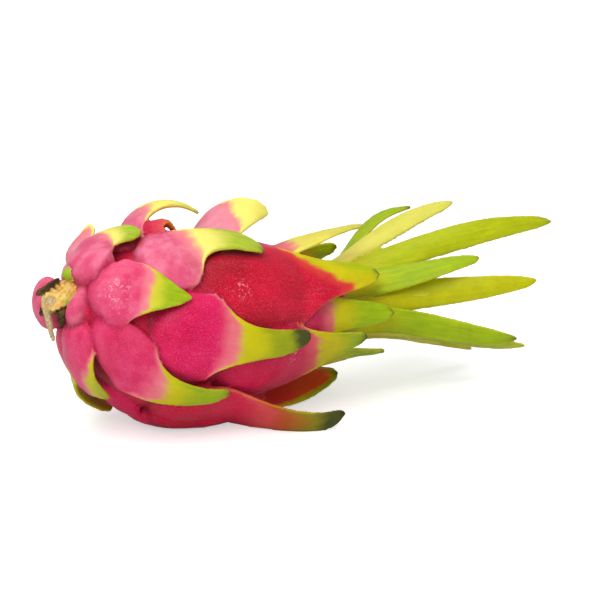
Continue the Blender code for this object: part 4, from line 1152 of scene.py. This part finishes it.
def plain_floor():
    me = bpy.data.meshes.new("floor")
    s = 6.0
    me.from_pydata([(-s, -s, 0), (s, -s, 0), (s, s, 0), (-s, s, 0)], [], [(0, 1, 2, 3)])
    ob = add_object("floor", me)
    g = Graph("floor_white")
    soft = g.noise(3.0, 2, .5, g.node("ShaderNodeTexCoord").outputs["Object"])
    g.link(g.mix(soft, (.78, .78, .78), (.82, .82, .82)), g.b.inputs["Base Color"])
    g.b.inputs["Roughness"].default_value = .85
    g.b.inputs["Specular IOR Level"].default_value = .1
    g.b.inputs["Emission Color"].default_value = (1, 1, 1, 1)
    seen = g.node("ShaderNodeLightPath").outputs["Is Camera Ray"]
    far = g.node("ShaderNodeVectorMath", operation="LENGTH")
    g.link(g.node("ShaderNodeTexCoord").outputs["Object"], far.inputs[0])
    glow = g.band(far.outputs["Value"], .45, 1.6, FLOOR_GLOW, 1.0)
    g.link(g.math("MULTIPLY", seen, glow), g.b.inputs["Emission Strength"])
    me.materials.append(g.mat)
    return ob


def area(name, loc, target, size, energy, colour=(1, 1, 1)):
    li = bpy.data.lights.new(name, "AREA")
    li.shape = "RECTANGLE"
    li.size, li.size_y = size
    li.energy = energy
    li.color = colour
    ob = bpy.data.objects.new(name, li)
    ob.location = loc
    ob.rotation_euler = (Vector(target) - Vector(loc)).to_track_quat("-Z", "Y").to_euler()
    bpy.context.scene.collection.objects.link(ob)
    return ob


# ------------------------------------------------------------------ the scene

skin = build_fruit_fine()
stub = build_stub_fine()
flower = build_flower_fine()
for ob, mat, node, slot in ((skin, peel_material(), "fruit", "peel"), (stub, wood_material(), "stem_stub", "dry_stem"),
                            (flower, flower_material(), "dried_flower", "dry_flower")):
    ob.data.materials.clear()
    ob.data.materials.append(mat)
    ob.data.polygons.foreach_set("use_smooth", np.ones(len(ob.data.polygons), bool))
    ob.data.update()
    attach(ob, "root")
    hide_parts(node)

floor = plain_floor()

world = bpy.data.worlds.new("studio")
world.use_nodes = True
world.node_tree.nodes["Background"].inputs[0].default_value = (1, 1, 1, 1)
wt = world.node_tree
path = wt.nodes.new("ShaderNodeLightPath")
glow = wt.nodes.new("ShaderNodeMapRange")
glow.inputs["To Min"].default_value = WORLD_LIGHT
glow.inputs["To Max"].default_value = 1.0
wt.links.new(path.outputs["Is Camera Ray"], glow.inputs["Value"])
wt.links.new(glow.outputs[0], wt.nodes["Background"].inputs[1])
scene = bpy.context.scene
scene.world = world
scene.view_settings.view_transform = "Standard"
scene.view_settings.look = "None"
scene.view_settings.exposure = 0.0

area("key", (-.55, -.60, .95), (.02, 0, .04), (.9, .9), KEY)
area("top", (-.05, .25, 1.15), (.03, 0, .04), (1.1, .9), TOP)
area("fill", (.75, -.75, .35), (.05, 0, .04), (.8, .6), FILL)

a, e = math.radians(CAM_AZ), math.radians(CAM_EL)
right = Vector((math.cos(a), math.sin(a), 0))
back = Vector((math.sin(a) * math.cos(e), -math.cos(a) * math.cos(e), math.sin(e)))
up = back.cross(right)
pos = (-right * (CAM_CX - 300) * MM_PX + up * (CAM_CY - 300) * MM_PX + back * CAM_DIST) * MM + Vector((0, 0, -FLOOR * MM))
cam_data = bpy.data.cameras.new("camera")
cam_data.sensor_width = 36.0
cam_data.lens = 36.0 * (CAM_DIST / MM_PX) / 600.0
cam_data.clip_start = .01
cam = bpy.data.objects.new("camera", cam_data)
m = Matrix.Identity(4)
for i in range(3):
    m[i][0], m[i][1], m[i][2], m[i][3] = right[i], up[i], back[i], pos[i]
cam.matrix_world = m
scene.collection.objects.link(cam)
scene.camera = cam

bpy.context.view_layer.update()
